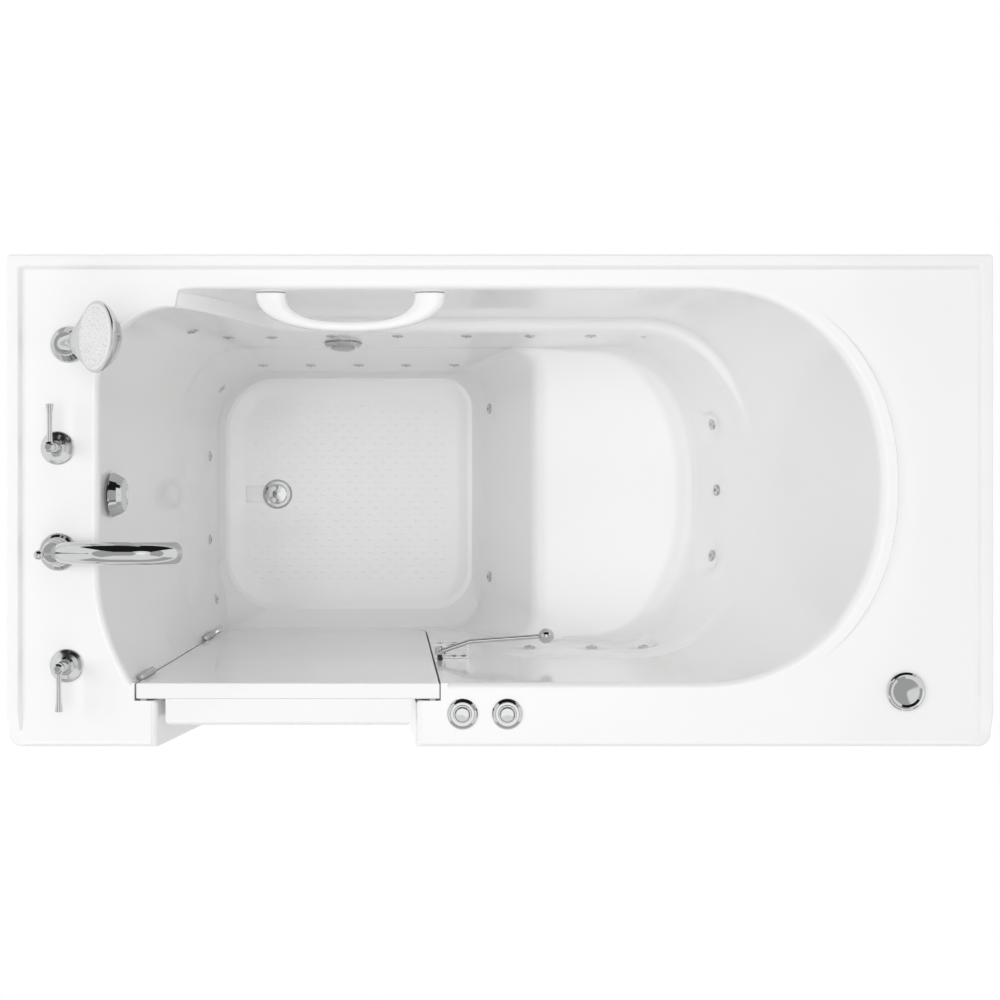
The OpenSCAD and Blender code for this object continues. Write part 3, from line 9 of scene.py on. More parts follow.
import bmesh
import bpy
import numpy as np
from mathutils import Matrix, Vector


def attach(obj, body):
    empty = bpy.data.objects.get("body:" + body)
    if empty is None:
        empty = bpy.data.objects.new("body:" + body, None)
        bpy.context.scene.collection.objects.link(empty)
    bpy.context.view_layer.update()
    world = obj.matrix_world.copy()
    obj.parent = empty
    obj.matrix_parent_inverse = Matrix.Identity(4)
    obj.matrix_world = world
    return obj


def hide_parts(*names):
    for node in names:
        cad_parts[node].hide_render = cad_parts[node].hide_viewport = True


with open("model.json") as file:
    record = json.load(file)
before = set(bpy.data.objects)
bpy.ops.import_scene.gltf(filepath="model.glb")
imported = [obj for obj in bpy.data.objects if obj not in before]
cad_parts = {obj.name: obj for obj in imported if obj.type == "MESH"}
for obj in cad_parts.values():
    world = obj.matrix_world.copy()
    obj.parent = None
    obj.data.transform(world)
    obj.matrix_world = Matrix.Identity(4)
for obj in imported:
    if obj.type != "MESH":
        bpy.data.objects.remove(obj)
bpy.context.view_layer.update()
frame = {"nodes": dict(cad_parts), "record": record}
nodes = frame["nodes"]
scene = bpy.context.scene
scene.view_settings.view_transform = "Standard"

# ---------------------------------------------------------------- camera
CAM_AT, CAM_LENS, CAM_SENSOR, CAM_END = (0, 0.0015, 3.357), 55.79, 36, 50
cam_data = bpy.data.cameras.new("camera")
cam = bpy.data.objects.new("camera", cam_data)
scene.collection.objects.link(cam)
scene.camera = cam
cam.location = CAM_AT
cam.rotation_euler = (0, 0, 0)
cam_data.lens = CAM_LENS
cam_data.sensor_width = CAM_SENSOR
cam_data.sensor_fit = "HORIZONTAL"
cam_data.clip_end = CAM_END

# ---------------------------------------------------------------- materials
NOISE_LOW, NOISE_HIGH, ROUGH_SPREAD, COAT_ROUGH, FINE_DETAIL = 0.3, 0.7, 0.02, 0.03, 6


def grey(v):
    return (v, v, v, 1.0)


def new_material(name):
    m = bpy.data.materials.new(name)
    m.use_nodes = True
    t = m.node_tree
    return m, t, t.nodes["Principled BSDF"]


def link_noise(t, scale, detail=3.0):
    tc = t.nodes.new("ShaderNodeTexCoord")
    n = t.nodes.new("ShaderNodeTexNoise")
    n.inputs["Scale"].default_value = scale
    n.inputs["Detail"].default_value = detail
    t.links.new(tc.outputs["Object"], n.inputs["Vector"])
    return n.outputs["Fac"]


def ramp(t, source, low, high):
    r = t.nodes.new("ShaderNodeValToRGB")
    r.color_ramp.elements[0].position, r.color_ramp.elements[0].color = NOISE_LOW, low
    r.color_ramp.elements[1].position, r.color_ramp.elements[1].color = NOISE_HIGH, high
    t.links.new(source, r.inputs["Fac"])
    return r.outputs["Color"]


def bump(t, bsdf, height, distance):
    b = t.nodes.new("ShaderNodeBump")
    b.inputs["Distance"].default_value = distance
    b.inputs["Strength"].default_value = 1.0
    t.links.new(height, b.inputs["Height"])
    t.links.new(b.outputs["Normal"], bsdf.inputs["Normal"])


def plain(name, color, rough, metallic=0.0, scale=40, spread=0.02, bump_d=0.0, bump_scale=300, coat=0.0):
    """A material with slight variation of colour and roughness, and a fine bump where bump_d isn't 0."""
    m, t, b = new_material(name)
    n = link_noise(t, scale)
    lo = [max(0, c * (1 - spread)) for c in color]
    hi = [min(1, c * (1 + spread)) for c in color]
    t.links.new(ramp(t, n, (*lo, 1), (*hi, 1)), b.inputs["Base Color"])
    rough_lo, rough_hi = grey(max(0, rough - ROUGH_SPREAD)), grey(rough + ROUGH_SPREAD)
    t.links.new(ramp(t, n, rough_lo, rough_hi), b.inputs["Roughness"])
    b.inputs["Metallic"].default_value = metallic
    b.inputs["Coat Weight"].default_value = coat
    b.inputs["Coat Roughness"].default_value = COAT_ROUGH
    if bump_d:
        bump(t, b, link_noise(t, bump_scale, FINE_DETAIL), bump_d)
    return m


# colour, roughness and the other settings of each material; all but satin_chrome are slots of the frame
LOOKS = {
    "acrylic": ((0.96, 0.96, 0.958), 0.12, dict(scale=5, spread=0.004, bump_d=3e-5, bump_scale=9, coat=0.5)),
    "door_acrylic": ((0.94, 0.94, 0.94), 0.1, dict(scale=6, spread=0.004, bump_d=3e-5, bump_scale=10, coat=0.5)),
    "panel": ((0.86, 0.86, 0.86), 0.2, dict(scale=4, spread=0.005, bump_d=6e-5, bump_scale=60)),
    "chrome": ((0.62, 0.625, 0.63), 0.04, dict(metallic=1.0, scale=30, spread=0.01)),
    "satin_chrome": ((0.66, 0.665, 0.67), 0.2, dict(metallic=1.0, scale=40, spread=0.015)),
    "steel": ((0.55, 0.55, 0.56), 0.3, dict(metallic=1.0, scale=60, spread=0.04, bump_d=4e-5, bump_scale=900)),
    "frame_steel": ((0.5, 0.51, 0.52), 0.38, dict(metallic=1.0, scale=25, spread=0.08, bump_d=8e-5,
                                                  bump_scale=500)),
    "brass": ((0.72, 0.56, 0.27), 0.3, dict(metallic=1.0, scale=60, spread=0.06, bump_d=5e-5, bump_scale=600)),
    "rubber": ((0.03, 0.03, 0.03), 0.75, dict(scale=90, spread=0.2, bump_d=2e-4, bump_scale=700)),
    "gasket": ((0.42, 0.42, 0.425), 0.6, dict(scale=80, spread=0.1, bump_d=1e-4, bump_scale=500)),
    "white_plastic": ((0.83, 0.83, 0.83), 0.3, dict(scale=30, spread=0.02, bump_d=5e-5, bump_scale=400)),
    "grey_plastic": ((0.09, 0.093, 0.1), 0.5, dict(scale=40, spread=0.12, bump_d=2e-4, bump_scale=600)),
    "lens": ((0.5, 0.5, 0.5), 0.35, dict(scale=50, spread=0.03, coat=0.4)),
}
MATERIALS = {name: plain(name, color, rough, **rest) for name, (color, rough, rest) in LOOKS.items()}
ACRYLIC, DOOR_ACRYLIC = MATERIALS["acrylic"], MATERIALS["door_acrylic"]
CHROME, SATIN, WHITE_PLASTIC = MATERIALS["chrome"], MATERIALS["satin_chrome"], MATERIALS["white_plastic"]

for s in frame["record"]["subparts"]:
    ob = nodes[s["node"]]
    ob.data.materials.clear()
    ob.data.materials.append(MATERIALS[s["material_slot"]])

# ---------------------------------------------------------------- the moulded shell's sizes, as the solid's
TUB_L, TUB_W, DECK_H, SHELL_T, LIP_H, LIP_W, SKIRT_H = 1524, 762, 957, 6, 8, 24, 45
BAND_H, LEDGE_D, SEAT_D, SEAT_X, SEAT_RUN, FLOOR_D, RECESS = 7, 330, 515, 66, 297, 830, 8
DOOR_H, DOOR_W, DOOR_TAPER, PANEL_T, DOOR_T = 780, 470, 60, 24.5, 66
DOOR_R, DOOR_GAP, DOOR_RAKE, LATCH_PLAY = 70, 3, 19.4, 1.5
DECK_LEFT, DECK_RIGHT, DECK_BACK, DECK_FRONT = 140, 170, 53, 99
LEFT_X, RIGHT_X = -TUB_L / 2 + DECK_LEFT, TUB_L / 2 - DECK_RIGHT
BACK_Y, FRONT_Y = TUB_W / 2 - DECK_BACK, -TUB_W / 2 + DECK_FRONT
MID_Y = (BACK_Y + FRONT_Y) / 2
RAKE = math.atan(DOOR_RAKE / DOOR_H)
# how far the back and left walls lean in over the depth LEAN_D, and the step of the back wall's rim
LEAN_BACK, LEAN_LEFT, LEAN_D, BACK_STEP, STEP_X = 65, 42, 815, 28, LEFT_X + 117
# radii of the back left corner and of the round end, and the run of the corner beside the door
CORNER_RY, END_RX, END_POWER, CORNER_RUN = 128, 279, 2.15, 172
HINGE_X, HINGE_GAP = LEFT_X + 56.8, 3.9
DOOR_LEFT, REBATE_LEFT = HINGE_X + HINGE_GAP / 2, HINGE_X - HINGE_GAP / 2
FRAME_WALL_L, FRAME_WALL = 3, 9
FRAME_LEFT = REBATE_LEFT - FRAME_WALL_L
DOOR_RIGHT = HINGE_X + DOOR_W + LATCH_PLAY
CORNER_R, BACK_CORNER_R = 20, 5


def lerp(a, b, u):
    return a + (b - a) * u


def clamp01(u):
    return np.clip(u, 0, 1)


def smooth(u):
    u = clamp01(u)
    return u * u * (3 - 2 * u)


# ---------------------------------------------------------------- outlines of the well
# Stations go round the well: left wall, back left corner, back wall, seat's back wall, round end (two quarters),
# seat's front wall, door, front left corner. MARKS has the first station of each.
N_SIDE, N_CORNER, N_BACK, N_SEAT, N_ROUND = 4, 8, 8, 6, 10
N_RIGHT = 2 * N_SEAT + 2 * N_ROUND
STATIONS = N_SIDE + 2 * N_CORNER + 2 * N_BACK + N_RIGHT
STEP_I = N_SIDE + N_CORNER
SEAT_FIRST = STEP_I + N_BACK
MARKS = np.cumsum([0, N_SIDE, N_CORNER, N_BACK, N_SEAT, N_ROUND, N_ROUND, N_SEAT, N_BACK, N_CORNER])
STEP_SPACING = (0, 8, 36, 70, 108)


def oval(cx, cy, rx, ry, e, a):
    c, s = math.cos(math.radians(a)), math.sin(math.radians(a))
    return (cx + rx * math.copysign(abs(c) ** (2 / e), c), cy + ry * math.copysign(abs(s) ** (2 / e), s))


def back_x(x1, k):
    """X of the back wall's station k: close together by the step, then even up to x1."""
    xs = [STEP_X + d for d in STEP_SPACING]
    n = len(xs) - 1
    xs += [lerp(xs[n], x1, (j - n) / (N_BACK - n)) for j in range(n + 1, N_BACK + 1)]
    return float(np.interp(k, range(N_BACK + 1), xs))


def door_corner(x0, xf, y0, run, bulge, t):
    return (x0 + (xf - x0) * lerp(t * t, 1 - (1 - t) ** 2, bulge), y0 + run * (1 - t))


def segment(i):
    """The segment that station i is in, and how far it is along it."""
    i = i % STATIONS
    s = int(np.searchsorted(MARKS, i, side="right") - 1)
    return s, i - MARKS[s]


def well_ring(i, x0, x1, y0, yd, y1, xs, s):
    """Station i of the rim or of the seat's outline: yd is the door's plane, xs the seat's start, s the step."""
    crx = STEP_X - LEFT_X
    rx = END_RX * (x1 - xs) / (RIGHT_X - xs)
    cx, cy, by0 = x1 - rx, MID_Y, y1 - s - CORNER_RY
    g, k = segment(i)
    if g == 0:
        return (x0, lerp(yd + CORNER_RUN, by0, k / N_SIDE))
    if g == 1:
        return oval(x0 + crx, by0, crx, CORNER_RY, 2, 180 - 90 * k / N_CORNER)
    if g == 2:
        return (back_x(xs, k) + (x0 - LEFT_X) * (1 - k / N_BACK), y1 - s * (1 - float(smooth(k))))
    if g == 3:
        return (lerp(xs, cx, k / N_SEAT), y1)
    if g == 4:
        return oval(cx, cy, rx, y1 - cy, END_POWER, 90 - 90 * k / N_ROUND)
    if g == 5:
        return oval(cx, cy, rx, cy - y0, END_POWER, -90 * k / N_ROUND)
    if g == 6:
        return (lerp(cx, xs, k / N_SEAT), y0)
    if g == 7:
        return (lerp(xs, FRAME_LEFT, k / N_BACK), lerp(y0, yd, float(clamp01(k))))
    return door_corner(x0, FRAME_LEFT, yd, CORNER_RUN, 0, 1 - k / N_CORNER)


def riser_side(x1, y0, y1, rb, rf, u):
    """The footwell's side under the seat: a corner in the first and in the last 0.3 of u, straight between."""
    if u < 0.3:
        return oval(x1 - rb, y1 - rb, rb, rb, 2, 90 - 300 * u)
    if u < 0.7:
        return (x1, lerp(y1 - rb, y0 + rf, (u - 0.3) / 0.4))
    return oval(x1 - rf, y0 + rf, rf, rf, 2, -300 * (u - 0.7))


def foot_ring(i, x0, x1, y0, y1, rl, rb, rf, xf=None):
    """Station i of an outline of the footwell, with xf where its front left corner ends beside the door."""
    xe = x0 + rl if xf is None else xf
    g, k = segment(i)
    if g == 0:
        return (x0, lerp(y0 + rl, y1 - rl, k / N_SIDE))
    if g == 1:
        return oval(x0 + rl, y1 - rl, rl, rl, 2, 180 - 90 * k / N_CORNER)
    if g == 2:
        return (lerp(x0 + rl, x1 - rb, k / N_BACK), y1)
    if g < 7:
        return riser_side(x1, y0, y1, rb, rf, (i % STATIONS - SEAT_FIRST) / N_RIGHT)
    if g == 7:
        return (lerp(x1 - rf, xe, k / N_BACK), y0)
    if xf is None:
        return oval(x0 + rl, y0 + rl, rl, rl, 2, -90 - 90 * k / N_CORNER)
    return door_corner(x0, xf, y0, rl, 1, 1 - k / N_CORNER)


def door_plane_y(d):
    return FRONT_Y + DOOR_RAKE * d / DOOR_H


SEAT_BACK_Y, SEAT_FRONT_Y = BACK_Y - 40, FRONT_Y + 20
SEAT_LEFT_X = LEFT_X + LEAN_LEFT * SEAT_D / LEAN_D
BACKREST_X, SEAT_CORNER_X = SEAT_X + SEAT_RUN, SEAT_X - 50
RISER_X = SEAT_X - 114
FOOT_BACK_Y, FOOT_LEFT_X = BACK_Y - LEAN_BACK, LEFT_X + LEAN_LEFT
FOOT_FRONT_Y = door_plane_y(FLOOR_D - RECESS)
# radii of the seat's front edge and of the wall's foot at its left, back right and front right corners
EDGE_R, FOOT_R, FOOT_FRONT_RUN = (110, 50, 50), (112, 60, 80), 20
# the line round the floor and the floor's flat: how far they lie in from left, right, front and back, and
# their radii
LINE_IN, LINE_R = (20, 21, 50, 18), (98, 57, 76)
FLAT_IN, FLAT_R = (53, 48, 77, 48), (80, 40, 60)


def is_seat(i):
    return SEAT_FIRST <= i % STATIONS < SEAT_FIRST + N_RIGHT


def is_back(i):
    return STEP_I <= i % STATIONS < SEAT_FIRST + N_SEAT


def rim(i):
    return np.array(well_ring(i, LEFT_X, RIGHT_X, FRONT_Y, FRONT_Y, BACK_Y, SEAT_CORNER_X, BACK_STEP))


def seat(i):
    return np.array(well_ring(i, SEAT_LEFT_X, BACKREST_X, SEAT_FRONT_Y, door_plane_y(SEAT_D), SEAT_BACK_Y,
                              SEAT_CORNER_X, 0))


def edge(i):
    """The seat's front edge, and the wall at the seat's depth elsewhere."""
    if is_seat(i):
        return np.array(foot_ring(i, SEAT_LEFT_X, SEAT_X, SEAT_FRONT_Y, SEAT_BACK_Y, *EDGE_R))
    return seat(i)


def foot(i):
    return np.array(foot_ring(i, FOOT_LEFT_X, RISER_X, FOOT_FRONT_Y, FOOT_BACK_Y, *FOOT_R,
                              FOOT_LEFT_X + FOOT_FRONT_RUN))


def flat_box(inset):
    """X and Y limits of the footwell's floor, in from the walls' foot by inset."""
    left, right, front, back = inset
    return FOOT_LEFT_X + left, RISER_X - right, FOOT_FRONT_Y + front, FOOT_BACK_Y - back


def line(i):
    return np.array(foot_ring(i, *flat_box(LINE_IN), *LINE_R))


def flat(i):
    return np.array(foot_ring(i, *flat_box(FLAT_IN), *FLAT_R))


def beside_seat(i):
    """1 along the seat's straight walls, falling to 0 round the backrest and 0 elsewhere."""
    i = i % STATIONS
    if not is_seat(i):
        return 0.0
    k = i - SEAT_FIRST - N_SEAT
    return float(smooth(1.2 - 1.2 * min(k, 2 * N_ROUND - k) / N_ROUND * (1 if k > 0 else 0)))


def normal(ring, i):
    """The unit vector out of the well, square to the outline; blended over the rim's step."""
    if STEP_I - 1 < i < STEP_I + 2 and i != int(i):
        n = lerp(normal(ring, math.floor(i)), normal(ring, math.floor(i) + 1), i - math.floor(i))
        return n / np.linalg.norm(n)
    d = ring(i + 0.5) - ring(i - 0.5)
    n = np.array([-d[1], d[0]])
    return n / max(np.linalg.norm(n), 1e-9)


def push(ring, i, out):
    return ring(i) + normal(ring, i) * out


# ---------------------------------------------------------------- profile of the shell's wet side
LEDGE_START, LEDGE_RUN, LEDGE_LEAST, LEDGE_RISE, LEDGE_FALL = 12, 170, 10.0, 8, 3
ROLL_LEAST, ROLL_MOST, ROLL_AT, ROLL_RUN = 9, 26, 12.5, 3
EDGE_RUN, EDGE_FALL, LEDGE_OVER_SEAT = 40, 14, 60
# bends from the floor up: the runs before and after each control point, and the number of steps
BENDS = ((50, 50, 8), (26, 26, 6), (55, 45, 8), (9, 9, 3), (9, 9, 3), (14, 11, 8))
# points put between the floor, the bends and the deck
GAPS = (3, 8, 8, 8, 8, 0, 8, 0)


def ledge_depth(i):
    """Depth of the armrest ledge, which dies out towards the rim's step on the back wall."""
    if not is_back(i):
        return LEDGE_D
    return max(LEDGE_LEAST, LEDGE_D * float(smooth((rim(i)[0] - STEP_X + LEDGE_START) / LEDGE_RUN)))


def ledge_rise(d):
    return max(4.0, LEDGE_RISE * d / LEDGE_D)


def wall_at(i, d):
    return lerp(rim(i), seat(i), d / SEAT_D)


def ledge_in(i):
    d = ledge_depth(i)
    w = wall_at(i, d)
    if is_back(i) and i % STATIONS < SEAT_FIRST + N_SEAT:
        return np.array([w[0], BACK_Y - BACK_STEP - LEDGE_FALL * d / LEDGE_D])
    return w + normal(rim, i) * (-5 * beside_seat(i) if is_back(i - N_ROUND) else 0)


def ledge_out(i):
    d = ledge_depth(i)
    w = wall_at(i, d - ledge_rise(d))
    if is_back(i):
        return np.array([w[0], min(rim(i)[1], BACK_Y - ledge_rise(d))])
    return w + normal(rim, i) * ((17 if rim(i)[1] > MID_Y else 5) * beside_seat(i) if is_seat(i) else 0)


def seat_flat(i):
    """1 where the seat is wide between its edge and its wall, 0 where the two meet."""
    return float(smooth(np.linalg.norm(seat(i) - edge(i)) / EDGE_RUN))


def band(i):
    """Height of the low band round the backrest's rim."""
    return BAND_H * (1 - float(smooth(beside_seat(i) * 1.6 - 0.4))) if is_seat(i) else 0.0


def roll(i):
    """How far the rim's rolled edge reaches over the deck; less where the rim steps inwards."""
    return lerp(ROLL_LEAST, ROLL_MOST, smooth(min(1, abs(i % STATIONS - ROLL_AT) / ROLL_RUN)))


def at(p, d):
    return np.array([p[0], p[1], DECK_H - d])


def controls(i):
    """Control points from the floor's flat by the seat and the ledge to the deck."""
    f, d = EDGE_FALL * (1 - seat_flat(i)), ledge_depth(i)
    return [at(flat(i), FLOOR_D), at(line(i), FLOOR_D - RECESS), at(foot(i), FLOOR_D - RECESS),
            at(edge(i), SEAT_D + f), at(seat(i), SEAT_D - f), at(ledge_in(i), min(d, SEAT_D - LEDGE_OVER_SEAT)),
            at(ledge_out(i), d - ledge_rise(d)), at(rim(i), -band(i)),
            at(push(rim, i, roll(i) - 3), -band(i) - 0.05), at(push(rim, i, roll(i)), 0)]


def bend(a, p, b, da, db, n):
    """A curve of n steps that cuts the corner p between a and b."""
    la, lb = np.linalg.norm(a - p), np.linalg.norm(b - p)
    s = p + (a - p) / max(la, 1e-9) * min(da, 0.45 * la)
    e = p + (b - p) / max(lb, 1e-9) * min(db, 0.45 * lb)
    return [s * (1 - t) ** 2 + p * 2 * t * (1 - t) + e * t * t for t in np.linspace(0, 1, n + 1)]


def wet(i):
    c = controls(i)
    parts = [c[:2], *[bend(*c[k + 1:k + 4], *b) for k, b in enumerate(BENDS)], c[8:]]
    res = []
    for k, p in enumerate(parts):
        res += p
        if k + 1 < len(parts) and GAPS[k]:
            a, b = p[-1], parts[k + 1][0]
            res += [lerp(a, b, (j + 1) / (GAPS[k] + 1)) for j in range(GAPS[k])]
    return res


# ---------------------------------------------------------------- the deck's edge and the shell's dry side
# the lip, skirt and deck's underside: how far in at the sides and in front, and how high at the sides and in front
LIP = ((LIP_W, 10, 0, 0), (LIP_W - 1.5, 8, 0.6, -0.15), (LIP_W - 5.5, 6, LIP_H - 1.2, -0.6),
       (LIP_W - 7.5, 5, LIP_H - 0.1, -0.9), (LIP_W - 9, 4, LIP_H, -1.4), (3.4, 2.2, LIP_H, -2.8),
       (1.6, 0.9, LIP_H - 0.5, -4.6), (0.4, 0.2, LIP_H - 1.7, -6.6), (0, 0, LIP_H - 3.2, -9),
       (0, 0, -SKIRT_H + 1.5, -SKIRT_H + 1.5), (0.8, 0.8, -SKIRT_H, -SKIRT_H),
       (SHELL_T, SHELL_T, -SKIRT_H, -SKIRT_H), (SHELL_T, SHELL_T, -SHELL_T - 8, -SHELL_T - 8),
       (LIP_W, 12, -SHELL_T, -SHELL_T))


def path3(u, a, b, c, r, k0, k1):
    """The way from a by b to c, with b rounded by r; the turn takes u from k0 to k1."""
    a, b, c = np.array(a), np.array(b), np.array(c)
    ua, uc = (a - b) / np.linalg.norm(a - b), (c - b) / np.linalg.norm(c - b)
    if u <= k0:
        return lerp(a, b + ua * r, u / k0)
    if u < k1:
        o, w = b + ua * r + uc * r, math.radians(90 * (u - k0) / (k1 - k0))
        return o - uc * r * math.cos(w) - ua * r * math.sin(w)
    return lerp(b + uc * r, c, (u - k1) / (1 - k1))


def deck(i):
    """Station i of the deck's outline."""
    i = i % STATIONS
    x, y = TUB_L / 2, TUB_W / 2
    i0, i1, i2 = N_SIDE, STEP_I, SEAT_FIRST + N_SEAT
    i3 = i2 + N_ROUND
    i4 = i3 + N_ROUND
    i5 = STATIONS - N_CORNER
    if i < i0:
        return np.array([-x, rim(i)[1]])
    turn = rim(i1)[0] - 34
    if i < i1:
        return path3((i - i0) / N_CORNER, (-x, rim(i0)[1]), (-x, y), (turn, y), BACK_CORNER_R, 0.375, 0.625)
    if i < i1 + 2:
        u = (i - i1) / 2
        return np.array([lerp(turn, rim(i1 + 2)[0], 0.4 * u if u < 0.5 else 1.6 * u - 0.6), y])
    if i < i2:
        return np.array([rim(i)[0], y])
    if i < i3:
        return path3((i - i2) / N_ROUND, (rim(i2)[0], y), (x, y), (x, MID_Y), BACK_CORNER_R, 0.5, 0.7)
    if i < i4:
        return path3((i - i3) / N_ROUND, (x, MID_Y), (x, -y), (rim(i4)[0], -y), CORNER_R, 0.3, 0.6)
    if i < i5:
        return np.array([rim(i)[0], -y])
    return path3((i - i5) / N_CORNER, (rim(i5)[0], -y), (-x, -y), (-x, rim(0)[1]), CORNER_R, 0.375, 0.75)


def edge_ring(i, side, front, z_side, z_front):
    """A point in from the deck's outline, with the front edge's own inset and height."""
    p = deck(i)
    f = 1 - float(smooth((p[1] + TUB_W / 2 - CORNER_R) / 30))
    s, fy = 1 - side / (TUB_L / 2), 1 - (front if p[1] < 0 else side) / (TUB_W / 2)
    return np.array([p[0] * s, p[1] * fy, DECK_H + lerp(z_side, z_front, f)])


def deck_side(i):
    return [edge_ring(i, *p) for p in LIP]


def dry(i):
    """The outside of the well, from the deck down to the floor's underside."""
    t, rise, c = SHELL_T, 34, controls(i)

    def out(ring, z):
        return np.array([*push(ring, i, t), z])

    def up_wall(k):
        """A point behind the wall between control k and the next, a rise above control k."""
        u = min(0.8, rise / max(c[k + 1][2] - c[k][2], 1))
        return lerp(c[k], c[k + 1], u) + np.array([*normal(rim, i) * t * 1.25, 0])

    low = out(seat, c[4][2] - t) + np.array([*(edge(i) - seat(i)) * 0.12, 0])
    return [at(push(rim, i, 16), t), at(push(rim, i, t), t + 6),
            np.array([*(ledge_out(i) + normal(rim, i) * t), c[6][2]]),
            np.array([*(ledge_in(i) + normal(rim, i) * t), c[5][2] - t / 2]),
            up_wall(4), low, out(edge, c[3][2] - t), up_wall(2), out(line, c[1][2] - t),
            np.array([*flat(i), c[0][2] - t])]


# ---------------------------------------------------------------- meshes
def shade(ob, angle):
    me = ob.data
    for p in me.polygons:
        p.use_smooth = True
    me.set_sharp_from_angle(angle=math.radians(angle))


def mesh_object(name, verts, faces, material=None):
    me = bpy.data.meshes.new(name)
    me.from_pydata([tuple(float(c) for c in v) for v in verts], [], faces)
    me.update()
    ob = bpy.data.objects.new(name, me)
    scene.collection.objects.link(ob)
    if material:
        me.materials.append(material)
    return ob


def loft(name, rows, material=None):
    """A closed skin through rows of points, each row a closed ring, capped at both ends."""
    m, n = len(rows), len(rows[0])
    verts = [p / 1000 for r in rows for p in r]
    faces = [[(j * n + k), (j * n + (k + 1) % n), ((j + 1) * n + (k + 1) % n), ((j + 1) * n + k)]
             for j in range(m - 1) for k in range(n)]
    faces.append(list(range(n - 1, -1, -1)))
    faces.append([(m - 1) * n + k for k in range(n)])
    return mesh_object(name, verts, faces, material)


def tidy(ob, material, angle=30):
    me = ob.data
    me.materials.clear()
    me.materials.append(material)
    me.polygons.foreach_set("material_index", np.zeros(len(me.polygons), dtype=np.int32))
    shade(ob, angle)
    m = ob.modifiers.new("flat faces keep their normals", "WEIGHTED_NORMAL")
    m.keep_sharp, m.weight, m.mode = True, 50, "FACE_AREA"


def fix_normals(ob):
    b = bmesh.new()
    b.from_mesh(ob.data)
    bmesh.ops.recalc_face_normals(b, faces=b.faces)
    b.to_mesh(ob.data)
    b.free()


def boolean(ob, steps):
    """Applies (operation, other) steps to ob and removes the others."""
    fix_normals(ob)
    for op, other in steps:
        fix_normals(other)
        m = ob.modifiers.new("b", "BOOLEAN")
        m.operation, m.object, m.solver = op, other, "MANIFOLD"
        deps = bpy.context.evaluated_depsgraph_get()
        me = bpy.data.meshes.new_from_object(ob.evaluated_get(deps))
        ob.modifiers.clear()
        old = ob.data
        ob.data = me
        bpy.data.meshes.remove(old)
        bpy.data.objects.remove(other)


def rod_at(name, base, axis, d, length, n=48):
    """A closed cylinder from base along axis."""
    z = Vector(axis).normalized()
    q = z.to_track_quat("Z", "Y").to_matrix()
    verts = []
    for h in (0, length):
        for k in range(n):
            a = 2 * math.pi * k / n
            verts.append(Vector(base) + q @ Vector((d / 2 * math.cos(a), d / 2 * math.sin(a), h)))
    faces = [(k, (k + 1) % n, n + (k + 1) % n, n + k) for k in range(n)]
    faces += [list(range(n - 1, -1, -1)), list(range(n, 2 * n))]
    return mesh_object(name, [v / 1000 for v in verts], faces)


def above(p, z, dx=0.0, dy=0.0):
    return (p[0] + dx, p[1] + dy, p[2] + z)


# ---------------------------------------------------------------- moulded shell
STEP = 0.25
# a jet's points lie within JET_REACH of each other, and those past JET_STEM_R from its axis are the flange's
JET_REACH, JET_LEAST_L, JET_STEM_R = 55, 20, 9.2
# the wall is level round a jet's seat, less and less over the last LEVEL_FADE before LEVEL_END
LEVEL_END, LEVEL_FADE, LEVEL_UP, LEVEL_BELOW = 40, 24, 12, 0.2


def jet_seats():
    """Middle and facing of the jets that sit in curved parts of the wall, as the solid has them."""
    res = []
    for ob in (nodes["jets_seat_riser"], nodes["jets_backrest"], nodes["jets_front_seat"]):
        left = [np.array(v.co) * 1000 for v in ob.data.vertices]
        while left:
            near = [v for v in left if np.linalg.norm(v - left[0]) < JET_REACH]
            left = [v for v in left if np.linalg.norm(v - left[0]) >= JET_REACH]
            mid = sum(near) / len(near)
            _, _, axes = np.linalg.svd(np.array(near) - mid)
            n = axes[0] * (1 if axes[0][2] > 0 else -1)
            reach = [float(np.dot(v - mid, n)) for v in near]
            if max(reach) - min(reach) > JET_LEAST_L:
                wide = [v for v, r in zip(near, reach) if np.linalg.norm(v - mid - n * r) > JET_STEM_R]
                base = min(float(np.dot(v - mid, n)) for v in wide)
                res.append((mid + n * base, n))
    return res


JET_SEATS = jet_seats()


def sink(p):
    """A point of the wet side, brought down to a jet's seat where it would cover the jet."""
    for q, n in JET_SEATS:
        d = p - q
        up = float(np.dot(d, n))
        r = float(np.linalg.norm(d - n * up))
        if abs(up) < LEVEL_UP and r < LEVEL_END:
            p = p - n * (up + LEVEL_BELOW) * float(smooth((LEVEL_END - r) / LEVEL_FADE))
    return p


stations = [float(i) for i in np.arange(0, STATIONS, STEP)]
profiles = [[sink(q) for q in wet(i)] + deck_side(i) + dry(i) for i in stations]
shell = loft("tub_body", [list(row) for row in zip(*profiles)], ACRYLIC)


# ---------------------------------------------------------------- door opening, cut as the solid's is
REBATE_Y, FRAME_DEPTH, HINGE_OUT, HINGE_L, BARREL_D = -27.5, 125, 3.5, 84, 12
HINGE_DEPTHS = (80, 612)
BODY_LEFT, BODY_RIGHT, BODY_H = HINGE_X + 47, DOOR_RIGHT - 44, DOOR_H - 42
BODY_TAPER_L, BODY_TAPER_R, BODY_R = 79, 73, 90
OPEN_LEFT, OPEN_RIGHT, OPEN_BELOW, OPEN_UP, FLARE, JAMB_R = 13, 7, 4, 30, 9, 6.5
FRAME_LAP, FRAME_UP = 0.4, 20


def in_door(x, y, z):
    """A point of the door's frame: X along the tub, Y out of the door's face into the tub, Z up the face."""
    return np.array([x, FRONT_Y + y * math.cos(RAKE) - z * math.sin(RAKE),
                     DECK_H + y * math.sin(RAKE) + z * math.cos(RAKE)])


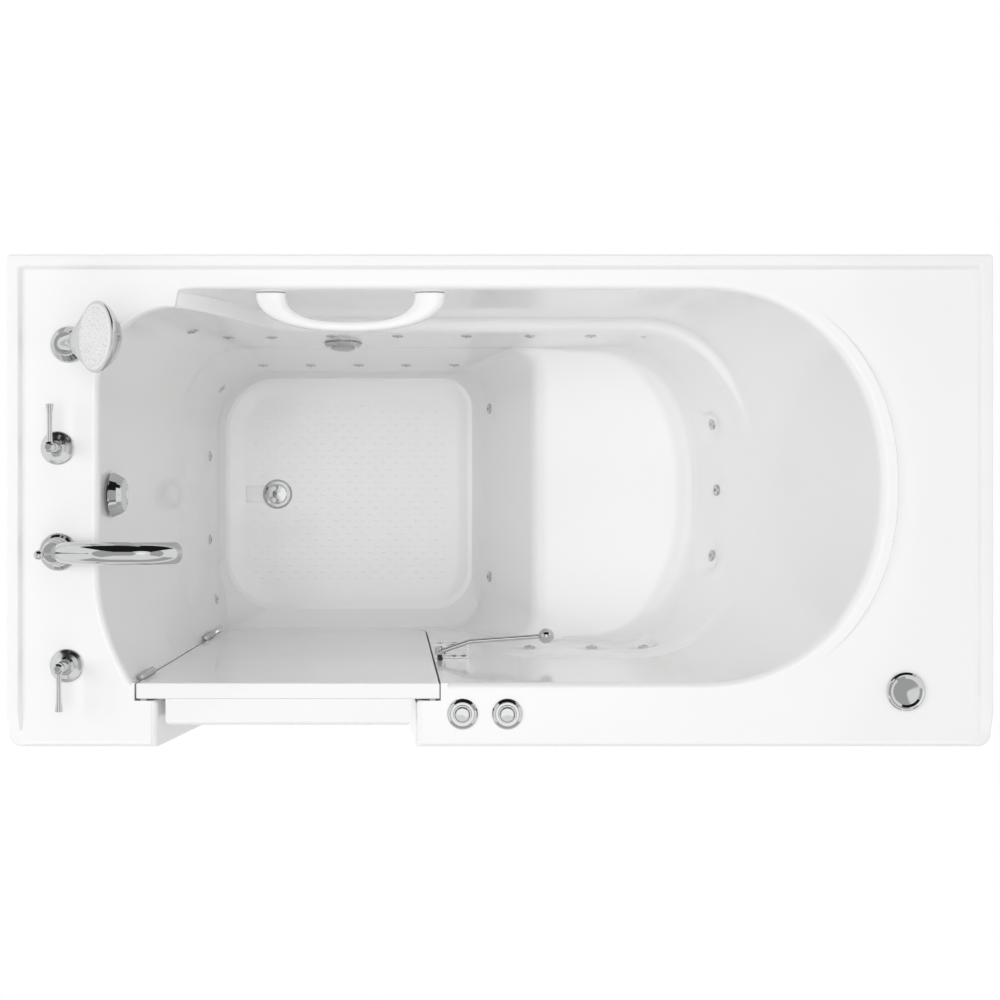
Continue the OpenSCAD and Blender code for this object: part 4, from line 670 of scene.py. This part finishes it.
def door_outline(xl, xr, tl, tr, h, r, up, n=20, flare=0.0):
    """The outline of the door or of its opening; flare rounds the opening's two edges at the deck."""
    al, ar = math.atan(tl / h), math.atan(tr / h)
    cl, cr = xl + tl * (h - r) / h + r / math.cos(al), xr - tr * (h - r) / h - r / math.cos(ar)
    turn = [(flare * (1 - math.sin(a)), flare * (math.cos(a) - 1)) for a in np.linspace(0, math.pi / 2, 7)]
    lip = [(flare, up), *turn] if flare else [(tl * up / h, up)]
    pts = [(xl - u, v) for u, v in lip]
    for c, start, end in ((cl, math.pi + al, 1.5 * math.pi), (cr, 1.5 * math.pi, 2 * math.pi - ar)):
        for k in range(n + 1):
            a = lerp(start, end, k / n)
            pts.append((c + r * math.cos(a), r - h + r * math.sin(a)))
    lip = [(flare, up), *turn] if flare else [(tr * up / h, up)]
    return pts + [(xr + u, v) for u, v in reversed(lip)]


def panel_outline(gl, g, up):
    return door_outline(DOOR_LEFT - gl, DOOR_RIGHT + g, 0, DOOR_TAPER, DOOR_H + g, DOOR_R + g, up)


def opening_outline(g):
    """The opening that the door's body stands in, wider all round by g."""
    return door_outline(BODY_LEFT - (OPEN_LEFT + g), BODY_RIGHT + (OPEN_RIGHT + g), BODY_TAPER_L, BODY_TAPER_R,
                        BODY_H + (OPEN_BELOW + g), BODY_R, OPEN_UP, flare=FLARE)


def frame_outline(g, up):
    w = DOOR_GAP + FRAME_WALL + g
    return door_outline(FRAME_LEFT - g, DOOR_RIGHT + w, 0, DOOR_TAPER, DOOR_H + w, DOOR_R + DOOR_GAP, up)


def prism(name, rings):
    """A closed body through outlines (points, depth), each an XZ outline at its own Y of the door's frame."""
    return loft(name, [[in_door(x, y, z) for x, z in pts] for pts, y in rings])


def hinge_reliefs():
    up = in_door(0, 0, 1) - in_door(0, 0, 0)
    return [rod_at("relief", in_door(HINGE_X, HINGE_OUT, -d - HINGE_L / 2 - 2), up, BARREL_D + 1.6, HINGE_L + 4)
            for d in HINGE_DEPTHS]


def opening_rings():
    """The opening's cutter, wider at the rebate so that the jamb's inner edge is rounded."""
    rings = [(opening_outline(JAMB_R), 2), (opening_outline(JAMB_R), REBATE_Y)]
    for k in range(1, 8):
        a = math.pi / 2 * k / 7
        rings.append((opening_outline(JAMB_R * (1 - math.sin(a))), REBATE_Y - JAMB_R * (1 - math.cos(a))))
    return rings + [(opening_outline(0), -FRAME_DEPTH - 2)]


def front_bar():
    """A long body with the rounding of the deck's front edge, to which the jambs are trimmed."""
    profile = [(0, -9), (0.2, -6.6), (0.9, -4.6), (2.2, -2.8), (4, -1.4), (5, -0.9), (6, -0.6), (8, -0.15),
               (10, 0), (200, 0), (200, -900), (0, -900)]
    return loft("bar", [[np.array([x, -TUB_W / 2 + y, DECK_H + z]) for y, z in profile]
                        for x in (FRAME_LEFT - 2, DOOR_RIGHT + 20)])


DRAIN = (LEFT_X + 158.3, MID_Y - 9.2, DECK_H - FLOOR_D)
THROAT_D, SEAT_RING_D, TROUGH_L, TROUGH_HALF = 46, 61.6, 88, 17.5


def drain_cutters():
    """The drain's seat and throat, and the shallow trough that leads to it."""
    trough = []
    for inset, z in ((0, 0.6), (0, 0), (1.5, -1.4), (4.5, -2.4), (9, -2.9)):
        y = TROUGH_HALF - inset
        corners = ((-TROUGH_L, -y), (0, -y), (0, y), (-TROUGH_L, y))
        trough.append([np.array(above(DRAIN, z, *c)) for c in corners])
    return [rod_at("seat", above(DRAIN, -1.5), (0, 0, 1), SEAT_RING_D, 10, 96),
            rod_at("throat", above(DRAIN, -30), (0, 0, 1), THROAT_D, 40, 96), loft("trough", trough)]


door_frame = prism("door_jambs", [(frame_outline(FRAME_LAP, FRAME_UP), 0),
                                  (frame_outline(FRAME_LAP, FRAME_UP), -FRAME_DEPTH)])
boolean(door_frame, [("INTERSECT", front_bar())])
boolean(shell, [("DIFFERENCE", prism("gap", [(frame_outline(0, 60), 12), (frame_outline(0, 60), -160)])),
                ("UNION", door_frame),
                ("DIFFERENCE", prism("rebate", [(panel_outline(3.2, 1.9, 30), 1.5), (panel_outline(3.2, 1.9, 30), 0),
                                                (panel_outline(3, 1.8, 30), -1.5),
                                                (panel_outline(3, 1.8, 30), REBATE_Y)])),
                ("DIFFERENCE", prism("opening", opening_rings())),
                *[("DIFFERENCE", cutter) for cutter in hinge_reliefs() + drain_cutters()]])
tidy(shell, ACRYLIC)
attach(shell, "tub")
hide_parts("tub_shell", "door_frame")


# ---------------------------------------------------------------- door
def inset_panel(i):
    return door_outline(DOOR_LEFT + i, DOOR_RIGHT - i, 0, DOOR_TAPER, DOOR_H - i, DOOR_R - i, -i)


def inset_body(i):
    return door_outline(BODY_LEFT + i, BODY_RIGHT - i, BODY_TAPER_L, BODY_TAPER_R, BODY_H - i, BODY_R, -i)


def rounded(edges, depth_out, depth_in, r, n=6):
    """Rings of a plate whose edge at depth_in is rounded with radius r: (outline, depth)."""
    res = [(edges(0), depth_out)]
    for k in range(n + 1):
        a = math.pi / 2 * k / n
        depth = depth_in + math.copysign(r, depth_out - depth_in) * (1 - math.sin(a))
        res.append((edges(r * (1 - math.cos(a))), depth))
    return res


panel = prism("door_panel", [(inset_panel(1.2), -PANEL_T), *rounded(inset_panel, -PANEL_T + 1.2, 0, 2.5)])
boolean(panel, [("DIFFERENCE", r) for r in hinge_reliefs()])
tidy(panel, DOOR_ACRYLIC)
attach(panel, "door")
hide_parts("door_inner_panel")
cover = prism("door_cover", rounded(inset_body, -PANEL_T - 0.1, -DOOR_T, 8, 8))
fix_normals(cover)
tidy(cover, DOOR_ACRYLIC)
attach(cover, "door")
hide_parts("door_outer_cover")


# ---------------------------------------------------------------- grab bar
def grab_bar():
    """A bar along half an oval, blended between its inner and outer outline, made of rings along its way."""
    n, m, half = 28, 48, 12
    x0, y0, z0 = -235, BACK_Y - (38 + 12) / (LEDGE_D - 8) * 8 - 0.3, DECK_H - 38
    rings = []
    for j in range(m + 1):
        a = 180 + 180 * j / m
        outer, inner = np.array(oval(x0, y0, 149, 61, 2.3, a)), np.array(oval(x0, y0, 101, 45, 2.6, a))
        ring = []
        for k in range(n):
            w = oval(0, 0, 0.5, half, 2.8, 360 * k / n)
            ring.append(np.array([*lerp(inner, outer, 0.5 + w[0]), z0 + w[1]]))
        rings.append(ring)
    return loft("grab_rail", rings, ACRYLIC)


bar = grab_bar()
fix_normals(bar)
tidy(bar, ACRYLIC, 50)
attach(bar, "tub")
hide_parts("grab_bar")


# ---------------------------------------------------------------- turned fittings
def soften(profile, r):
    """The profile with its inner corners cut by short curves."""
    pts = [np.array(p, float) for p in profile]
    res = [pts[0]]
    for a, b, c in zip(pts, pts[1:], pts[2:]):
        res += bend(a, b, c, r, r, 4)
    return res + [pts[-1]]


def turned(profile, at_point, axis=(0, 0, 1), n=96, r=0.6):
    """A turned form: profile of (radius, height) pairs from its foot's middle to its top's middle."""
    q = Vector(axis).normalized().to_track_quat("Z", "Y").to_matrix()
    pts = soften(profile, r) if r else [np.array(p, float) for p in profile]
    pts = [p for p in pts if p[0] > 1e-6]
    verts, faces = [], []
    for rad, h in pts:
        for k in range(n):
            a = 2 * math.pi * k / n
            verts.append(Vector(at_point) + q @ Vector((rad * math.cos(a), rad * math.sin(a), h)))
    for j in range(len(pts) - 1):
        faces += [(j * n + k, j * n + (k + 1) % n, (j + 1) * n + (k + 1) % n, (j + 1) * n + k) for k in range(n)]
    faces += [tuple(range(n - 1, -1, -1)), tuple(range((len(pts) - 1) * n, len(pts) * n))]
    return verts, faces


def fitting(name, forms, material, body, node, angle=35):
    """One piece made of several closed forms, in place of a node of the frame."""
    verts, faces = [], []
    for v, f in forms:
        k = len(verts)
        verts += [Vector(p) / 1000 for p in v]
        faces += [tuple(i + k for i in face) for face in f]
    ob = mesh_object(name, verts, faces)
    fix_normals(ob)
    tidy(ob, material, angle)
    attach(ob, body)
    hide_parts(node)


def hull_of(points):
    b = bmesh.new()
    for p in points:
        b.verts.new(p)
    bmesh.ops.convex_hull(b, input=b.verts)
    bmesh.ops.delete(b, geom=[v for v in b.verts if not v.link_faces], context="VERTS")
    b.verts.index_update()
    v = [tuple(p.co) for p in b.verts]
    f = [tuple(q.index for q in face.verts) for face in b.faces]
    b.free()
    return v, f


HOT, COLD = (-TUB_L / 2 + 77, MID_Y + 59, DECK_H), (-TUB_L / 2 + 91, MID_Y - 278, DECK_H)
SHOWER = (-TUB_L / 2 + 94, MID_Y + 219, DECK_H)

# (radius, height) profiles of a deck valve
ESCUTCHEON = [(0, 0.2), (26, 0.2), (26, 1.6), (24.6, 3.4), (20, 6), (14, 8.4), (10.5, 11), (9.4, 15), (9, 24),
              (0, 24)]
SHANK = [(0, -60), (10.5, -60), (10.5, -18), (12, -18), (12, 1), (0, 1)]
SPINDLE = [(0, 20), (4, 20), (4, 33), (0, 33)]
HUB = [(0, 24.3), (9, 24.3), (9.4, 29), (8.2, 38), (9, 45), (8, 49), (5, 51.4), (0, 52)]
LEVER = [(0, 3), (4.8, 3), (4.2, 16), (3.6, 26), (3.9, 50), (5.9, 64.4), (6, 65.6), (0, 66)]
LEVER_UP = 43

for name, place, side in (("hot", HOT, 1), ("cold", COLD, -1)):
    body = [turned(ESCUTCHEON, place), turned(SHANK, place, n=48), turned(SPINDLE, place, n=32)]
    fitting(name + "_valve", body, SATIN, "tub", name + "_valve_body")
    lever = [turned(HUB, place), turned(LEVER, above(place, LEVER_UP), (0, side, 0), n=48)]
    fitting(name + "_handle_lever", lever, CHROME, name + "_handle", name + "_lever")

# ---------------------------------------------------------------- hand shower
# a handle that flares into a tilted bell with a pale spray face
FACE_N = Vector((-0.752, 0, 0.659))
HEAD = Vector(above(SHOWER, 115, 76))
NECK_RINGS, NECK_SIDES = 23, 48
bell = [(0, -30), (12, -29.4), (26, -25), (38, -17), (47, -8), (52, -1), (53.5, 3), (53.3, 5), (51.5, 6.2),
        (0, 6.2)]
bell_v = turned(bell, HEAD, FACE_N, n=72, r=2)[0]
neck = []
for x, z, d in ((22, 40, 27), (27, 44, 28)):
    for j in range(1, NECK_RINGS + 1):
        e = math.pi * j / (NECK_RINGS + 1)
        for k in range(NECK_SIDES):
            a = 2 * math.pi * k / NECK_SIDES
            neck.append(Vector(above(SHOWER, z + d / 2 * math.cos(e), x + d / 2 * math.sin(e) * math.cos(a),
                                     d / 2 * math.sin(e) * math.sin(a))))
collar = turned([(0, 20), (12, 20), (12, 22), (0, 22)], SHOWER, n=64, r=0)[0]
handset = [turned([(0, -45), (12, -45), (12, 21.5), (0, 21.5)], SHOWER, n=64),
           hull_of(collar + neck[:NECK_RINGS * NECK_SIDES]), hull_of(neck + bell_v)]
fitting("shower_body", handset, CHROME, "shower", "hand_shower", angle=60)

face = [(0, 3), (49.3, 3), (49.3, 6.4), (48.4, 7.2), (40, 7.9), (20, 8.4), (0, 8.5)]
nozzle = [(0, 6), (1.3, 6), (1.3, 9.4), (0.7, 9.9), (0, 10)]
nozzles = []
side_x = FACE_N.orthogonal().normalized()
side_y = FACE_N.cross(side_x)
for radius, count in ((8, 6), (17, 12), (26, 18), (35, 24), (43, 30)):
    for k in range(count):
        a = 2 * math.pi * k / count
        middle = HEAD + side_x * radius * math.cos(a) + side_y * radius * math.sin(a)
        nozzles.append(turned(nozzle, middle, FACE_N, n=12, r=0))
fitting("spray_face", [turned(face, HEAD, FACE_N), *nozzles], WHITE_PLASTIC, "shower", "shower_face")


# ---------------------------------------------------------------- anti-slip pattern of the footwell floor
def grip_dots():
    """Low oval dots in rows over the floor's flat, none in its corners, at the drain or in the trough."""
    n, rx, ry, dx, dy = 12, 6.4, 3.1, 27.8, 13.3
    corner, corner_r, drain_r, trough_half = 55, 44, 42, 26
    x0, x1, y0, y1 = flat_box(FLAT_IN)
    verts, faces = [], []

    def oval_ring(x, y, size, h):
        return [(x + rx * size * math.cos(2 * math.pi * j / n), y + ry * size * math.sin(2 * math.pi * j / n),
                 DRAIN[2] + h) for j in range(n)]

    row = 0
    y = y1 - 16
    while y > y0 + 14:
        x = x0 + 20 + (row % 2) * dx / 2
        while x < x1 - 16:
            cx, cy = min(x - x0, x1 - x), min(y - y0, y1 - y)
            in_corner = cx < corner and cy < corner and math.hypot(corner - cx, corner - cy) > corner_r
            at_drain = math.hypot(x - DRAIN[0], y - DRAIN[1]) < drain_r
            in_trough = x < DRAIN[0] and abs(y - DRAIN[1]) < trough_half
            if not (in_corner or at_drain or in_trough):
                k = len(verts)
                for size, h in ((1, 0.05), (0.75, 0.42), (0.4, 0.62), (1, -0.8)):
                    verts += oval_ring(x, y, size, h)
                for a, b in ((3, 0), (0, 1), (1, 2)):
                    faces += [(k + a * n + j, k + a * n + (j + 1) % n, k + b * n + (j + 1) % n, k + b * n + j)
                              for j in range(n)]
                faces += [tuple(k + 2 * n + j for j in range(n)),
                          tuple(k + 3 * n + j for j in range(n - 1, -1, -1))]
            x += dx
        y -= dy
        row += 1
    ob = mesh_object("grip_dots", [Vector(v) / 1000 for v in verts], faces)
    fix_normals(ob)
    tidy(ob, ACRYLIC, 60)
    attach(ob, "tub")


grip_dots()


# ---------------------------------------------------------------- light
def any_of(t, *kinds):
    """1 for the given kinds of ray, else 0."""
    path = t.nodes.new("ShaderNodeLightPath")
    res = path.outputs[kinds[0]]
    for kind in kinds[1:]:
        m = t.nodes.new("ShaderNodeMath")
        m.operation = "MAXIMUM"
        t.links.new(res, m.inputs[0])
        t.links.new(path.outputs[kind], m.inputs[1])
        res = m.outputs[0]
    return res


def shader(t, kind, tone=1.0, strength=None):
    s = t.nodes.new(kind)
    s.inputs["Color"].default_value = grey(tone)
    if strength is not None:
        s.inputs["Strength"].default_value = strength
    return s


def lit_or_seen(t, lit, seen, out):
    """Joins lit to out for the rays that carry light, and seen for those that look."""
    mix = t.nodes.new("ShaderNodeMixShader")
    t.links.new(any_of(t, "Is Camera Ray", "Is Glossy Ray", "Is Transmission Ray"), mix.inputs["Fac"])
    t.links.new(lit.outputs[0], mix.inputs[1])
    t.links.new(seen.outputs[0], mix.inputs[2])
    t.links.new(mix.outputs[0], out.inputs["Surface"])


def area(name, loc, target, size, power, size_y=None):
    d = bpy.data.lights.new(name, "AREA")
    d.energy = power
    d.shape = "RECTANGLE"
    d.size, d.size_y = size, size_y or size
    o = bpy.data.objects.new(name, d)
    scene.collection.objects.link(o)
    o.location = loc
    o.rotation_euler = (Vector(target) - Vector(loc)).to_track_quat("-Z", "Y").to_euler()
    o.visible_glossy = False


def card(name, heading, spread, zen0, zen1, tone):
    """A card that only mirrors show: part of a sphere, about a heading, between two angles off the zenith."""
    verts, n, m, radius, middle = [], 12, 8, 5.0, 0.9
    for r in range(m + 1):
        z = math.radians(lerp(zen0, zen1, r / m))
        for c in range(n + 1):
            a = math.radians(heading + lerp(-spread, spread, c / n))
            verts.append((radius * math.sin(z) * math.cos(a), radius * math.sin(z) * math.sin(a),
                          middle + radius * math.cos(z)))
    faces = [(r * (n + 1) + c, r * (n + 1) + c + 1, (r + 1) * (n + 1) + c + 1, (r + 1) * (n + 1) + c)
             for r in range(m) for c in range(n)]
    mat, t, _ = new_material(name)
    t.nodes.clear()
    o = t.nodes.new("ShaderNodeOutputMaterial")
    t.links.new(shader(t, "ShaderNodeEmission", strength=tone).outputs[0], o.inputs["Surface"])
    ob = mesh_object(name, verts, faces, mat)
    ob.visible_camera = ob.visible_diffuse = ob.visible_transmission = ob.visible_shadow = False


WORLD_LIT, FLOOR_TONE, FLOOR_HALF = 0.43, 0.8, 6
world = bpy.data.worlds.new("world")
scene.world = world
world.use_nodes = True
wt = world.node_tree
wt.nodes.clear()
lit_or_seen(wt, shader(wt, "ShaderNodeBackground", strength=WORLD_LIT),
            shader(wt, "ShaderNodeBackground", strength=1.0), wt.nodes.new("ShaderNodeOutputWorld"))

area("key", (0.1, -0.1, 8.0), (0.05, 0, 0.6), 5.4, 186, 4.2)
area("fill_left", (-2.8, 0.2, 3.0), (0.3, 0, 0.6), 1.6, 24)
area("fill_right", (3.0, -0.2, 2.4), (0, 0, 0.6), 1.6, 6)
area("fill_front", (0, -2.8, 3.0), (0, 0, 0.6), 2.2, 13)
area("fill_back", (0, 2.8, 3.0), (0, 0, 0.6), 2.2, 7)

card("card_back", 90, 50, 26, 92, 0.015)
card("card_front", -90, 50, 62, 92, 0.5)
card("card_left", 180, 42, 15, 48, 0.5)
card("card_right", 0, 42, 22, 52, 0.5)
card("card_top", 0, 180, 0.5, 13, 1.3)

# ---------------------------------------------------------------- floor
bm = bmesh.new()
bmesh.ops.create_grid(bm, x_segments=1, y_segments=1, size=FLOOR_HALF)
me = bpy.data.meshes.new("floor")
bm.to_mesh(me)
bm.free()
floor = bpy.data.objects.new("floor", me)
scene.collection.objects.link(floor)
floor_mat, ft, _ = new_material("floor")
ft.nodes.clear()
lit_or_seen(ft, shader(ft, "ShaderNodeBsdfDiffuse", FLOOR_TONE), shader(ft, "ShaderNodeEmission", strength=1.0),
            ft.nodes.new("ShaderNodeOutputMaterial"))
floor.data.materials.append(floor_mat)
